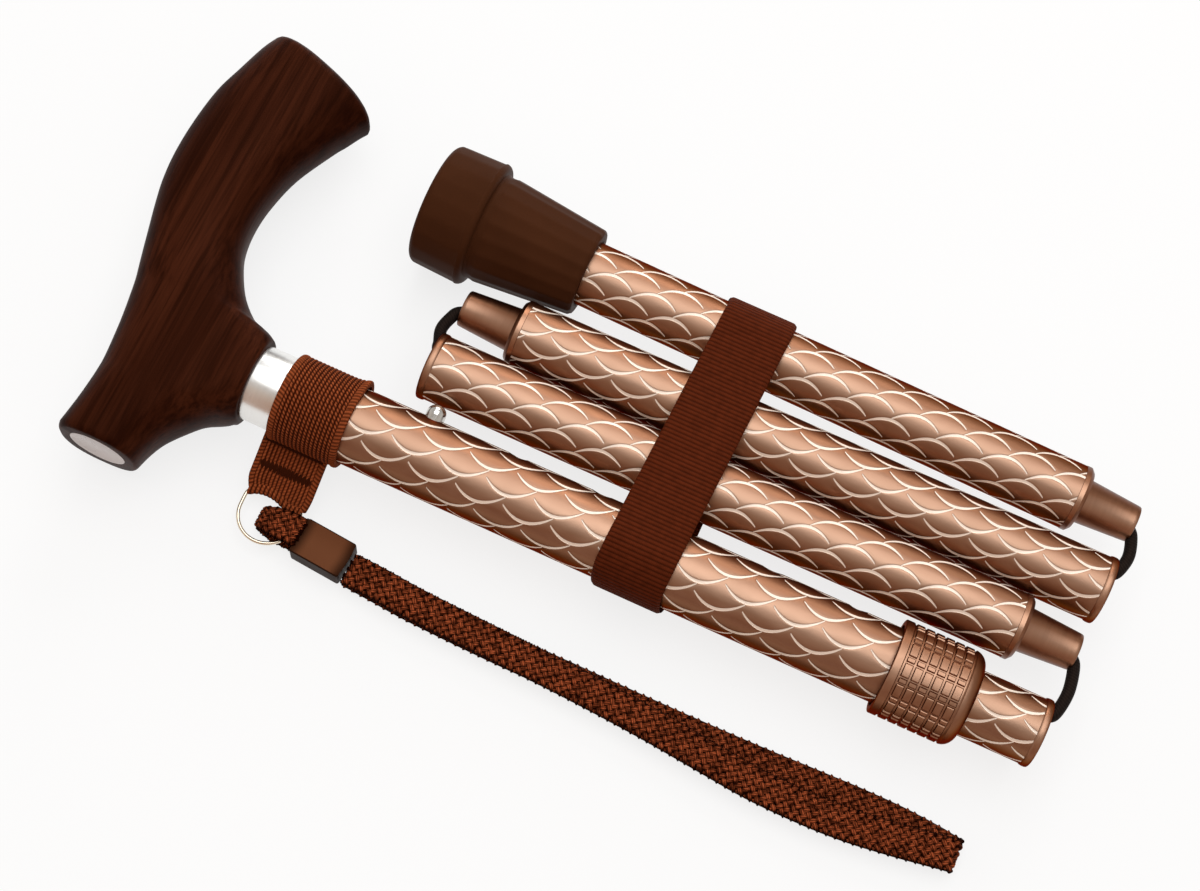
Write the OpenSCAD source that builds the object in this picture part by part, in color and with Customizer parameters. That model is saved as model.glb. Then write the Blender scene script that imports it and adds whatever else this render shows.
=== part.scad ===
// Folding walking cane, folded into four sections and lying flat.
// Millimetres, +Z up, X along the sections with the handle at -X.
// The origin is under the middle of the folded bundle, on the ground.

/* [Upper shaft] */
// Outside diameter of the upper tube
upper_tube_d = 22; // [21.5:0.1:23]
// Wall of the upper tube
upper_wall = 1.1; // [0.9:0.05:1.2]
// Length of the upper tube, ferrule to its end inside the lock collar
upper_tube_len = 187; // [180:1:190]
// Length of the polished ferrule below the handle
ferrule_len = 12; // [10:0.5:14]
// Diameter of the ferrule
ferrule_d = 21.8; // [21:0.1:22]
// Spacing of the height holes
hole_pitch = 25.4; // [20:0.2:25.4]
// Distance of the snap button below the handle
button_at = 49.6; // [46:0.2:54]
// Diameter of the snap button
button_d = 5.4; // [4.5:0.1:6]
// Height of the button above the upper tube
button_rise = 4; // [3:0.1:4.5]
// Angle of the button round the shaft, up from the side
button_angle = 20; // [10:1:40]

/* [Lower sections] */
// Outside diameter of the lower tubes
lower_tube_d = 19; // [18.5:0.1:19.2]
// Wall of the lower tubes
lower_wall = 1; // [0.8:0.05:1.2]
// Length of a section, socket mouth to plug shoulder
section_len = 179; // [170:1:182]
// Length of section 1 that shows below the lock collar
show_len = 20.7; // [18:0.1:24]
// Visible length of a plug
plug_len = 15.8; // [14:0.2:17]
// Plug diameter at its shoulder
plug_base_d = 12.8; // [12:0.1:13.2]
// Plug diameter at its tip
plug_tip_d = 10.6; // [10:0.1:11.4]
// Length of the spigots glued inside the tubes
spigot_len = 14; // [10:0.5:16]
// Length of the rim round a socket mouth
rim_len = 2.3; // [1.8:0.1:2.8]
// Height of the rim above the tube
rim_rise = 0.35; // [0.2:0.05:0.4]

/* [Folded bundle] */
// Spacing of sections 1 and 2
pitch_1 = 25.4; // [25:0.1:27]
// Spacing of sections 2 and 3
pitch_2 = 19.7; // [19.7:0.1:21]
// Spacing of sections 3 and 4 at the fold
pitch_3 = 21.7; // [21:0.1:23]
// Lean of section 4 away from section 3
lean = 1.1; // [0.8:0.1:1.6]
// Plug tip past the mouth beside it at fold 1
stagger_1 = 1.3; // [1:0.1:1.6]
// Plug tip short of the mouth beside it at fold 2
stagger_2 = 1.3; // [1:0.1:1.6]
// Plug tip past the mouth beside it at fold 3
stagger_3 = 1; // [0.8:0.1:1.4]
// Diameter of the elastic cord
cord_d = 3; // [2.6:0.1:3.2]

/* [Lock collar] */
// Length of the lock collar
collar_len = 24.2; // [23:0.2:25]
// Diameter of the lock collar
collar_d = 27.4; // [27:0.1:28]
// Length of the upper tube's end inside the collar
collar_over = 9.3; // [8:0.1:11]
// Number of grip pads round the collar
pads = 15; // [10:1:18]
// Number of grip rings along the collar
rings = 6; // [4:1:6]

/* [Rubber tip] */
// Length of the rubber tip
tip_len = 49.2; // [46:0.2:52]
// Diameter of the tip at the ground
tip_base_d = 36; // [34:0.2:37]
// Diameter of the tip at the top of its flange
tip_flange_d = 37.4; // [37:0.2:38]
// Length of the tip's flange
tip_flange_len = 16.7; // [15:0.1:18]
// Diameter of the tip at its mouth
tip_mouth_d = 26.6; // [25:0.2:27]
// Distance of the ground face from the plug tip of section 4
tip_at = 217.5; // [212:0.5:222]

/* [Handle] */
// Reach of the handle's arm above the shaft line
handle_size = 100; // [95:1:104]
// Thickness of the handle
handle_thick = 25; // [24:0.2:26]
// Thickness of wood round the ferrule
neck_wall = 1.2; // [1:0.1:1.6]
// Depth of the handle's bore
bore_depth = 28; // [22:0.5:30]
// Diameter of the round disc in the handle's nose
badge_d = 16.6; // [14:0.2:18]
// Thickness of the disc
badge_thick = 1; // [0.8:0.1:1.4]

/* [Wrist strap] */
// Width of the webbing loop on the shaft
web_w = 20.8; // [19:0.2:22]
// Thickness of the webbing
web_thick = 1.5; // [1.2:0.1:1.6]
// Width of the hanging tab
tab_w = 18.6; // [18:0.2:19]
// Width of the metal ring
ring_w = 16.6; // [16:0.2:17]
// Diameter of the ring's wire
wire_d = 1.4; // [1.2:0.1:1.5]
// Width of the braided strap
strap_w = 10.4; // [9.5:0.1:11]
// Thickness of the braided strap
strap_thick = 2.9; // [2.6:0.1:3]
// Reach of the strap from its clip to the end of its loop
strap_reach = 184; // [170:1:190]
// Length of the clip
clip_len = 15.7; // [14:0.1:16.5]

/* [Retaining band] */
// Width of the elastic band
band_w = 21.8; // [18:0.2:24]
// Thickness of the elastic band
band_thick = 1.2; // [1:0.1:1.4]
// Distance of the band's middle below the handle
band_at = 118.9; // [110:0.5:128]

/* [Hidden] */
$fn = 48;
round_fn = 32;
// Clearances and the overrun of cuts
glue_gap = 0.05;
run_gap = 0.3;
seat_gap = 0.2;
over = 1;
// Radii
upper_r = upper_tube_d / 2;
upper_in_r = upper_r - upper_wall;
lower_r = lower_tube_d / 2;
lower_in_r = lower_r - lower_wall;
ferrule_r = ferrule_d / 2;
spigot_r = lower_in_r - glue_gap;
stem_r = upper_in_r - glue_gap;
cord_r = cord_d / 2;
button_r = button_d / 2;
// Places along the upper shaft, from the handle's mouth
tube_end = ferrule_len + upper_tube_len;
collar_at = tube_end - collar_over;
collar_end = collar_at + collar_len;
mouth_at = collar_end + show_len;
// Heights and places of the four axes, before centring
axis_z = tip_flange_d / 2;
y_2 = pitch_1;
y_3 = y_2 + pitch_2;
y_4 = y_3 + pitch_3;
x_plug_2 = mouth_at + stagger_1;
x_mouth_2 = x_plug_2 - plug_len - section_len;
x_plug_3 = x_mouth_2 + stagger_2;
x_mouth_3 = x_plug_3 + plug_len + section_len;
x_plug_4 = x_mouth_3 + stagger_3;
// Elastic cord at the folds, and the holes that it runs in
cord_slack = 0.9;
flare_d = 7.8;
flare_len = 3.2;
cord_bend = cord_d;
cord_hole_r = cord_r + cord_slack;
x_cord_1 = x_plug_2 + run_gap + cord_r;
x_cord_2 = x_mouth_2 - run_gap - cord_r;
x_cord_3 = x_plug_4 + run_gap + cord_r;
// Sockets and plugs
socket_slack = 1;
socket_floor = 4.6;
shoulder_len = 2.6;
shoulder_rise = 0.12;
bevel = 1;
socket_depth = plug_len + socket_slack;
socket_len = socket_depth + socket_floor;
// Cord anchors and the guide at the top of the inner tube
inner_top = 21.6;
guide_len = 5.7;
anchor_len = 7.6;
anchor_gap = 10;
anchor_depth = 42;
knot_d = 5.8;
knot_bevel = 1;
inner_at = button_at - inner_top;
anchor_4_at = -plug_len - anchor_depth;
knot_r = knot_d / 2;
// Sprung button: strip width and thickness, its room in the tube, its head and its length
strip_w = 4.9;
strip_thick = 0.6;
strip_gap = 0.85;
strip_head = 4.6;
strip_len = 24.8;
strip_top = lower_in_r - strip_gap;
dome_at = upper_r + button_rise - button_r;
anchor_at = button_at + strip_len + anchor_gap;
// Upper shaft
hole_margin = 20;
hole_steps = floor((tube_end - hole_margin - button_at) / hole_pitch);
stem_len = 26.4;
// Split bush glued over the upper tube's end
bush_in = 3.4;
bush_short = 2.9;
bush_wall = 0.85;
bush_tip_wall = 1.3;
bush_cone_len = 4.6;
slit_w = 1;
slit_len = 6.9;
slits = 4;
bush_at = collar_at + bush_in;
bush_end = collar_end - bush_short;
bush_r = upper_r + glue_gap + bush_wall;
bush_tip_r = lower_r + run_gap + bush_tip_wall;
cone_at = bush_end - bush_cone_len;
// Lock collar: plain lip, then grip rings crossed by pairs of grooves
collar_lip = 2.8;
grip_len = 15.2;
groove_depth = 0.6;
pad_cut = 0.75;
ring_cut_share = 0.33;
pad_turn_share = 0.16;
collar_r = collar_d / 2;
collar_round = collar_r - lower_r - run_gap;
grip_at = collar_at + collar_lip;
ring_pitch = grip_len / rings;
ring_cut = ring_pitch * ring_cut_share;
pad_turn = 360 / pads;
// Rubber tip: floor under the washer, step and neck above the flange, rounding and lip
tip_floor = 7.9;
washer_thick = 1.5;
tip_step = 3.2;
tip_neck_d = 32.2;
tip_round = 3.4;
tip_lip = 2;
tube_4_end = tip_floor + washer_thick - tip_at;
// Handle stations, nose to arm: back edge [back, up] and front edge [front, up], shares of the handle size
back_shares = [
    [0.420, -0.340], [0.414, -0.300], [0.408, -0.255], [0.404, -0.205], [0.402, -0.165], [0.402, -0.130],
    [0.406, -0.080], [0.415, 0.000], [0.428, 0.080], [0.436, 0.122], [0.444, 0.155], [0.458, 0.210],
    [0.475, 0.278], [0.492, 0.345], [0.508, 0.420], [0.517, 0.510], [0.515, 0.620], [0.502, 0.735],
    [0.476, 0.825], [0.448, 0.915], [0.425, 0.965]
];
front_shares = [
    [0.180, -0.340], [0.168, -0.300], [0.147, -0.255], [0.108, -0.205], [0.064, -0.160], [0, -0.121],
    [0, -0.080], [0, 0.000], [0, 0.080], [0, 0.121], [0.070, 0.148], [0.134, 0.206],
    [0.182, 0.280], [0.207, 0.345], [0.215, 0.425], [0.206, 0.515], [0.178, 0.622], [0.120, 0.742],
    [0.100, 0.775], [0.078, 0.815], [0.063, 0.838]
];
thick_shares = [
    0.95, 0.96, 0.97, 0.98, 0.99, 1, 1, 1, 1, 1, 1, 1, 1, 1, 1, 1, 1, 1, 1, 1, 0.99
];
arm_cap_shares = [[0.97, 0.25], [0.88, 0.48], [0.72, 0.70], [0.50, 0.87], [0.25, 0.97]];
nose_cap_shares = [[0.97, 0.60], [0.90, 1]];
edge_share = 0.03;
arm_dome = 4.2;
nose_round = 1.8;
nose_in_share = 0.300;
nose_low_share = -0.340;
back_reach_share = 0.5175;
arm_reach_share = 0.944;
half_thick = handle_thick / 2;
neck_r = ferrule_r + neck_wall;
nose_x = -handle_size * nose_in_share;
nose_y = handle_size * nose_low_share - nose_round;
handle_back = handle_size * back_reach_share;
handle_top = handle_size * arm_reach_share + arm_dome;
smooth_steps = 2;
side_steps = 11;
// Centring: the bundle's box, without the wrist strap
x_shift = (handle_back - (x_cord_3 + cord_r)) / 2;
y_shift = -(handle_top + nose_y) / 2;
// Webbing and ring
web_over = 2.7;
ring_in = 8;
ring_drop = 25;
ring_side = 4.3;
roll_wall = 1.05;
tab_thick = 2.6;
ring_lift = 0.6;
web_at = ferrule_len - web_over;
web_r = upper_r + glue_gap;
ring_r = ring_w / 2;
wire_r = wire_d / 2;
ring_x = web_at + ring_in;
ring_y = -ring_drop;
ring_z = strap_thick + wire_r + ring_lift;
roll_r = wire_r + run_gap + roll_wall;
roll_w = ring_w - wire_d - run_gap * 2;
tab_top = web_r + web_thick / 2;
tab_slope = atan2(axis_z - ring_z, ring_drop);
tab_reach = norm([axis_z - ring_z, ring_drop]) - tab_top - wire_r;
// Clip and the short loop of braid on the ring
eye_w = 8.2;
eye_drop = 6.6;
eye_in = 6.9;
clip_in = 18.7;
clip_turn = -5;
clip_wall = 0.6;
clip_floor = 1.1;
eye_x = web_at + eye_in;
eye_y = ring_y - eye_drop;
eye_gap_r = wire_r + run_gap;
eye_r = eye_gap_r + strap_thick;
clip_x = web_at + clip_in;
clip_w = strap_w + clip_wall * 2;
clip_thick = (strap_thick + clip_floor) * 2;
eye_len = clip_x - eye_x - eye_w * sin(-clip_turn) / 2 - glue_gap;
// Long loop of braid
strap_lift = 0.35;
strap_climb = 3.8;
strap_out = 2.3;
low_z = strap_thick / 2 + strap_lift;
high_z = low_z + strap_climb;
strap_x = clip_x + clip_len + strap_w * sin(-clip_turn);
strap_y = eye_y - strap_out;
// Strap route: share of the reach, share of the strap width across, share of the way from low to high layer
strap_shares = [
    [0, 0, 0.27], [0.05, -0.06, 0.12], [0.12, -0.14, 0], [0.25, -0.2, 0], [0.38, -0.2, 0], [0.5, -0.2, 0],
    [0.6, -0.18, 0], [0.68, -0.15, 0], [0.76, -0.1, 0], [0.83, -0.06, 0], [0.90, -0.06, 0], [0.955, -0.12, 0],
    [0.980, -0.18, 0.07], [0.989, -0.22, 0.25], [0.992, -0.26, 0.5], [0.989, -0.3, 0.75], [0.980, -0.34, 0.93],
    [0.955, -0.42, 1], [0.90, -0.58, 1], [0.83, -0.74, 1], [0.76, -0.80, 1], [0.68, -0.78, 1],
    [0.6, -0.65, 1], [0.5, -0.48, 1], [0.38, -0.34, 1], [0.25, -0.25, 1], [0.12, -0.16, 1], [0.05, -0.06, 0.95],
    [0, 0, 0.77]
];
// Flat oval section of the strap: shares of half width and half thickness
oval_shares = [
    [1, 0.35], [0.86, 0.9], [0.45, 1], [-0.45, 1], [-0.86, 0.9], [-1, 0.35],
    [-1, -0.35], [-0.86, -0.9], [-0.45, -1], [0.45, -1], [0.86, -0.9], [1, -0.35]
];
// Retaining band, round the first and last sections
band_gap = 0.6;
far = y_4 + (x_plug_4 - band_at) * tan(lean);
near_r = upper_r + band_gap;
far_r = lower_r + band_gap;
band_tilt = asin((near_r - far_r) / far);
band_steps = 16;

// Places a shape in the row frame
module placed() {
    translate([x_shift, y_shift, axis_z]) children();
}

// Turns a profile [radius, along] about the X axis
module lathe_x() {
    rotate([0, 90, 0]) rotate_extrude() children();
}

// A round bar along X from a to b
module bar_x(a, b, r) {
    translate([a, 0, 0]) rotate([0, 90, 0]) cylinder(h = b - a, r = r);
}

// A tube along X from a to b
module tube_x(a, b, r_out, r_in) {
    difference() {
        bar_x(a, b, r_out);
        bar_x(a - over, b + over, r_in);
    }
}

// Section frames: origin at the plug tip, +X out of the plug
module on_2() {
    placed() translate([x_plug_2, y_2, 0]) children();
}

module on_3() {
    placed() translate([x_plug_3, y_3, 0]) rotate([0, 0, 180]) children();
}

module on_4() {
    placed() translate([x_plug_4, y_4, 0]) rotate([0, 0, -lean]) children();
}

// Smooth curve through the stations
function blend_at(a, b, c, d, t) =
    0.5 * (2 * b + (c - a) * t + (2 * a - 5 * b + 4 * c - d) * t * t + (3 * b - a - 3 * c + d) * t * t * t);
function last(list) = len(list) - 1;
function pick(list, i) = list[min(max(i, 0), last(list))];
function curve_at(list, i, t) =
    blend_at(pick(list, i - 1), pick(list, i), pick(list, i + 1), pick(list, i + 2), t);
function smooth(list) = [
    for (i = [0 : last(list) - 1], k = [0 : smooth_steps - 1]) curve_at(list, i, k / smooth_steps),
    list[last(list)]
];
// Half thickness over a station, from its back edge (0) to its front edge (1)
function mouth_share(up) = abs(up) < neck_r ? sqrt(neck_r * neck_r - up * up) / half_thick : 0;
function rim_share(f) = f[0] > -neck_wall ? max(edge_share, mouth_share(f[1])) : edge_share;
function swell(s, e) =
    s < 0.5 ? sqrt(1 - pow(1 - 2 * s, 2)) : e + (1 - e) * sqrt(max(0, 1 - pow(2 * s - 1, 2)));
function side_share(j) = (1 - cos(180 * j / side_steps)) / 2;
function ring_point(b, f, h, e, j, s) = [
    b[0] + (f[0] - b[0]) * side_share(j), b[1] + (f[1] - b[1]) * side_share(j), s * h * swell(side_share(j), e)
];
function ring_of(b, f, h, e) = concat(
    [for (j = [0 : side_steps]) ring_point(b, f, h, e, j, 1)],
    [for (j = [side_steps : -1 : 1]) ring_point(b, f, h, e, j, -1)]
);
// A capping ring: the end station drawn in and moved along the end's normal
function cap_ring(b, f, h, draw, move) = let (m = (b + f) / 2)
    ring_of(m + (b - m) * draw + move, m + (f - m) * draw + move, h * draw, edge_share);
// Skin between rings of equal size, with flat ends
function skin_faces(n, count) = concat(
    [[for (k = [n - 1 : -1 : 0]) k]],
    [for (i = [0 : count - 2], k = [0 : n - 1]) [i * n + k, i * n + (k + 1) % n, (i + 1) * n + (k + 1) % n]],
    [for (i = [0 : count - 2], k = [0 : n - 1]) [i * n + k, (i + 1) * n + (k + 1) % n, (i + 1) * n + k]],
    [[for (k = [0 : n - 1]) (count - 1) * n + k]]
);
function flat(list) = [for (ring = list, p = ring) p];

module handle_form() {
    backs = [for (p = smooth(back_shares)) [-p[0], p[1]] * handle_size];
    fronts = [for (p = smooth(front_shares)) [-max(p[0], 0), p[1]] * handle_size];
    thicks = smooth(thick_shares) * half_thick;
    body = [
        for (i = [0 : last(backs)])
            ring_of(backs[i], fronts[i], thicks[i], rim_share(fronts[i]))
    ];
    top_b = backs[last(backs)];
    top_f = fronts[last(fronts)];
    chord = top_f - top_b;
    normal = [-chord[1], chord[0]] / norm(chord);
    arm = [
        for (c = arm_cap_shares)
            cap_ring(top_b, top_f, thicks[last(thicks)], c[0], normal * arm_dome * c[1])
    ];
    nose_way = [0, -nose_round];
    nose = [
        for (i = [last(nose_cap_shares) : -1 : 0])
            cap_ring(backs[0], fronts[0], thicks[0], nose_cap_shares[i][0], nose_way * nose_cap_shares[i][1])
    ];
    all_rings = concat(nose, body, arm);
    polyhedron(points = flat(all_rings), faces = skin_faces(2 * side_steps + 1, len(all_rings)), convexity = 6);
}

module handle_grip() {
    color([0.16, 0.08, 0.05]) placed() difference() {
        handle_form();
        bar_x(-bore_depth, over, stem_r + glue_gap);
        translate([nose_x, nose_y - over, 0]) rotate([-90, 0, 0])
            cylinder(h = badge_thick + over, d = badge_d + glue_gap * 2);
    }
}

module handle_badge() {
    color([0.85, 0.85, 0.86]) placed() translate([nose_x, nose_y, 0]) rotate([-90, 0, 0])
        cylinder(h = badge_thick - glue_gap, d = badge_d);
}

module handle_stem() {
    color([0.6, 0.6, 0.62]) placed() bar_x(-bore_depth + glue_gap, stem_len, stem_r);
}

module handle_ferrule() {
    color([0.85, 0.85, 0.85]) placed() tube_x(0, ferrule_len, ferrule_r, upper_in_r);
}

// Direction of the button holes
module at_button(x) {
    translate([x, 0, 0]) rotate([button_angle - 90, 0, 0]) children();
}

module upper_tube() {
    color([0.6, 0.38, 0.27]) placed() difference() {
        tube_x(ferrule_len, tube_end, upper_r, upper_in_r);
        for (i = [0 : hole_steps]) {
            at_button(button_at + hole_pitch * i) cylinder(h = upper_r + over, r = button_r + run_gap);
        }
    }
}

// Split bush glued over the upper tube's end, gripped by the lock collar
module collet_bush() {
    color([0.12, 0.12, 0.12]) placed() difference() {
        lathe_x() polygon([
            [upper_r + glue_gap, bush_at], [bush_r, bush_at], [bush_r, cone_at], [bush_tip_r, bush_end],
            [lower_r + run_gap, bush_end], [lower_r + run_gap, tube_end + glue_gap],
            [upper_r + glue_gap, tube_end + glue_gap]
        ]);
        for (i = [0 : slits - 1]) {
            rotate([360 * (i + 0.5) / slits, 0, 0]) translate([bush_end - slit_len, -slit_w / 2, 0])
                cube([slit_len + over, slit_w, collar_d]);
        }
    }
}

module lock_collar() {
    color([0.5, 0.3, 0.2]) placed() difference() {
        lathe_x() difference() {
            union() {
                translate([0, collar_at]) square([collar_r, collar_len - collar_round]);
                translate([0, collar_end - collar_round - over])
                    square([collar_r - collar_round, collar_round + over]);
                translate([collar_r - collar_round, collar_end - collar_round]) circle(r = collar_round);
            }
            translate([0, collar_at - over]) square([upper_r + run_gap, bush_in + over]);
            translate([0, bush_at - run_gap]) square([bush_r + run_gap, cone_at - bush_at + run_gap]);
            polygon([
                [0, bush_at], [bush_r + run_gap, bush_at], [bush_r + run_gap, cone_at],
                [bush_tip_r + run_gap, bush_end + run_gap], [0, bush_end + run_gap]
            ]);
            translate([0, collar_at]) square([lower_r + run_gap, collar_len + over]);
            for (i = [0 : rings]) {
                translate([collar_r - groove_depth, grip_at + ring_pitch * i - ring_cut / 2])
                    square([groove_depth + over, ring_cut]);
            }
        }
        for (i = [0 : pads - 1], s = [-1, 1]) {
            rotate([pad_turn * (i + s * pad_turn_share), 0, 0])
                translate([grip_at, -pad_cut / 2, collar_r - groove_depth]) cube([grip_len, pad_cut, collar_r]);
        }
    }
}

// Sprung button: one bent strip of spring steel with a dome
module snap_clip() {
    color([0.75, 0.75, 0.76]) placed() at_button(button_at) {
        translate([0, 0, strip_top - strip_thick / 2])
            cylinder(h = dome_at - strip_top + strip_thick / 2, r = button_r);
        translate([0, 0, dome_at]) sphere(r = button_r);
        rotate([90, 0, 0]) translate([0, 0, -strip_w / 2]) linear_extrude(height = strip_w) polygon([
            [-strip_head, strip_top], [strip_head, strip_top],
            [strip_len, strip_thick], [strip_len, -strip_thick],
            [-strip_head, -strip_top], [-strip_head, strip_thick - strip_top], [strip_len - strip_thick * 4, 0],
            [strip_head - strip_thick / 2, strip_top - strip_thick], [-strip_head, strip_top - strip_thick]
        ]);
    }
}

module inner_tube() {
    color([0.6, 0.38, 0.27]) placed() difference() {
        tube_x(inner_at, mouth_at - rim_len, lower_r, lower_in_r);
        at_button(button_at) cylinder(h = upper_r, r = button_r + run_gap);
    }
}

module top_guide() {
    color([0.1, 0.1, 0.1]) placed() bar_x(inner_at, inner_at + guide_len, spigot_r);
}

module cord_anchor_1() {
    color([0.1, 0.1, 0.1]) placed() tube_x(anchor_at, anchor_at + anchor_len, spigot_r, cord_r + glue_gap);
}

// Straight run of cord, knotted behind the anchor face at stop
module knotted_cord(stop, to) {
    knot_end = stop - glue_gap;
    lathe_x() polygon([
        [0, knot_end - knot_d], [knot_r - knot_bevel, knot_end - knot_d], [knot_r, knot_end - knot_d + knot_bevel],
        [knot_r, knot_end - knot_bevel], [knot_r - knot_bevel, knot_end], [cord_r, knot_end], [cord_r, to], [0, to]
    ]);
}

module shock_cord_1() {
    color([0.03, 0.03, 0.03]) placed() knotted_cord(anchor_at, mouth_at - socket_depth);
}

// Lined socket: mouth at 0, opening towards +X
module socket_form() {
    lathe_x() difference() {
        union() {
            translate([0, -socket_len]) square([spigot_r, socket_len]);
            translate([0, -rim_len]) square([lower_r + rim_rise / 2, rim_len]);
            translate([lower_r - rim_len / 2 + rim_rise, -rim_len / 2]) circle(d = rim_len, $fn = round_fn);
        }
        polygon([
            [0, over], [plug_base_d / 2 + run_gap, over], [plug_base_d / 2 + run_gap, 0],
            [plug_tip_d / 2 + run_gap, -plug_len], [plug_tip_d / 2 + run_gap, -socket_depth], [0, -socket_depth]
        ]);
        translate([0, -socket_len - over]) square([cord_hole_r, socket_len]);
    }
}

module socket_1() {
    color([0.5, 0.3, 0.2]) placed() translate([mouth_at, 0, 0]) socket_form();
}

// Tapered plug with its shoulder, tip at 0
module plug_form() {
    lathe_x() polygon([
        [cord_hole_r, -plug_len - shoulder_len - spigot_len], [spigot_r, -plug_len - shoulder_len - spigot_len],
        [spigot_r, -plug_len - shoulder_len], [lower_r + shoulder_rise, -plug_len - shoulder_len],
        [lower_r + shoulder_rise, -plug_len - bevel], [lower_r - bevel, -plug_len], [plug_base_d / 2, -plug_len],
        [plug_tip_d / 2, -rim_rise], [plug_tip_d / 2 - rim_rise, 0], [flare_d / 2, 0], [cord_hole_r, -flare_len]
    ]);
}

module tube_form() {
    tube_x(rim_len - plug_len - section_len, -plug_len - shoulder_len, lower_r, lower_in_r);
}

module cord_form() {
    bar_x(socket_depth - plug_len - section_len, -flare_len, cord_r);
}

module socket_far() {
    translate([-plug_len - section_len, 0, 0]) rotate([0, 0, 180]) socket_form();
}

module plug_2() {
    color([0.5, 0.3, 0.2]) on_2() plug_form();
}

module tube_2() {
    color([0.6, 0.38, 0.27]) on_2() tube_form();
}

module shock_cord_2() {
    color([0.03, 0.03, 0.03]) on_2() cord_form();
}

module socket_2() {
    color([0.5, 0.3, 0.2]) on_2() socket_far();
}

module plug_3() {
    color([0.5, 0.3, 0.2]) on_3() plug_form();
}

module tube_3() {
    color([0.6, 0.38, 0.27]) on_3() tube_form();
}

module shock_cord_3() {
    color([0.03, 0.03, 0.03]) on_3() cord_form();
}

module socket_3() {
    color([0.5, 0.3, 0.2]) on_3() socket_far();
}

// Elastic cord round a fold: out of a socket at 0, across by the pitch, back into the plug beside it
module fold_form(reach, pitch, into) {
    bar_x(-socket_depth, reach - cord_bend, cord_r);
    translate([reach - cord_bend, cord_bend, 0]) rotate([0, 0, -90]) rotate_extrude(angle = 90)
        translate([cord_bend, 0]) circle(r = cord_r);
    translate([reach, cord_bend, 0]) rotate([-90, 0, 0]) cylinder(h = pitch - cord_bend * 2, r = cord_r);
    translate([reach - cord_bend, pitch - cord_bend, 0]) rotate_extrude(angle = 90)
        translate([cord_bend, 0]) circle(r = cord_r);
    translate([0, pitch, 0]) bar_x(into, reach - cord_bend, cord_r);
}

module fold_cord_1() {
    color([0.03, 0.03, 0.03]) placed() translate([mouth_at, 0, 0])
        fold_form(x_cord_1 - mouth_at, pitch_1, stagger_1 - flare_len);
}

module fold_cord_2() {
    color([0.03, 0.03, 0.03]) placed() translate([x_mouth_2, y_2, 0]) mirror([1, 0, 0])
        fold_form(x_mouth_2 - x_cord_2, pitch_2, -stagger_2 - flare_len);
}

module fold_cord_3() {
    color([0.03, 0.03, 0.03]) placed() translate([x_mouth_3, y_3, 0])
        fold_form(x_cord_3 - x_mouth_3, pitch_3, stagger_3 - flare_len);
}

// Last section, down to the ground
module plug_4() {
    color([0.5, 0.3, 0.2]) on_4() plug_form();
}

module tube_4() {
    color([0.6, 0.38, 0.27]) on_4() tube_x(tube_4_end, -plug_len - shoulder_len, lower_r, lower_in_r);
}

module shock_cord_4() {
    color([0.03, 0.03, 0.03]) on_4() knotted_cord(anchor_4_at - anchor_len, -flare_len - seat_gap);
}

module cord_anchor_4() {
    color([0.1, 0.1, 0.1]) on_4() tube_x(anchor_4_at - anchor_len, anchor_4_at, spigot_r, cord_r + glue_gap);
}

module tip_washer() {
    color([0.6, 0.6, 0.6]) on_4() bar_x(tip_floor - tip_at, tube_4_end, lower_r);
}

module rubber_tip() {
    color([0.14, 0.07, 0.05]) on_4() translate([-tip_at, 0, 0]) lathe_x() difference() {
        union() {
            polygon([
                [0, 0], [tip_base_d / 2 - tip_round, 0], [tip_base_d / 2, tip_round],
                [tip_flange_d / 2, tip_flange_len],
                [tip_neck_d / 2, tip_flange_len + tip_step], [tip_mouth_d / 2, tip_len - tip_lip],
                [tip_mouth_d / 2 - tip_lip, tip_len], [0, tip_len]
            ]);
            translate([tip_base_d / 2 - tip_round, tip_round]) circle(r = tip_round);
            translate([tip_mouth_d / 2 - tip_lip, tip_len - tip_lip]) circle(r = tip_lip);
        }
        translate([0, tip_floor]) square([lower_r + glue_gap, tip_len]);
        translate([-tip_len, -over]) square([tip_len, tip_len + over * 2]);
    }
}

// Webbing loop round the shaft, with its sewn tab and the roll that holds the ring
module strap_webbing() {
    color([0.42, 0.16, 0.07]) placed() difference() {
        union() {
            bar_x(web_at, web_at + web_w, web_r + web_thick);
            translate([ring_x, 0, 0]) rotate([180 + tab_slope, 0, 0]) {
                translate([-tab_w / 2, tab_top, -tab_thick / 2])
                    cube([tab_w, tab_reach - tab_thick, tab_thick]);
                translate([-roll_w / 2, tab_top, -tab_thick / 2]) cube([roll_w, tab_reach, tab_thick]);
            }
            translate([ring_x - roll_w / 2, ring_y, ring_z - axis_z]) bar_x(0, roll_w, roll_r);
        }
        bar_x(web_at - over, web_at + web_w + over, web_r);
        translate([ring_x, ring_y, ring_z - axis_z]) bar_x(-tab_w, tab_w, wire_r + run_gap);
    }
}

// Metal ring lying flat, its bar inside the roll
module strap_ring() {
    color([0.8, 0.78, 0.72]) placed() translate([ring_x, ring_y, ring_z - axis_z]) union() {
        bar_x(-ring_r, ring_r, wire_r);
        for (s = [-1, 1]) {
            translate([s * ring_r, 0, 0]) sphere(r = wire_r);
            translate([s * ring_r, 0, 0]) rotate([90, 0, 0]) cylinder(h = ring_side, r = wire_r);
        }
        translate([0, -ring_side, 0]) rotate([0, 0, 180]) rotate_extrude(angle = 180)
            translate([ring_r, 0]) circle(r = wire_r);
    }
}

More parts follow.
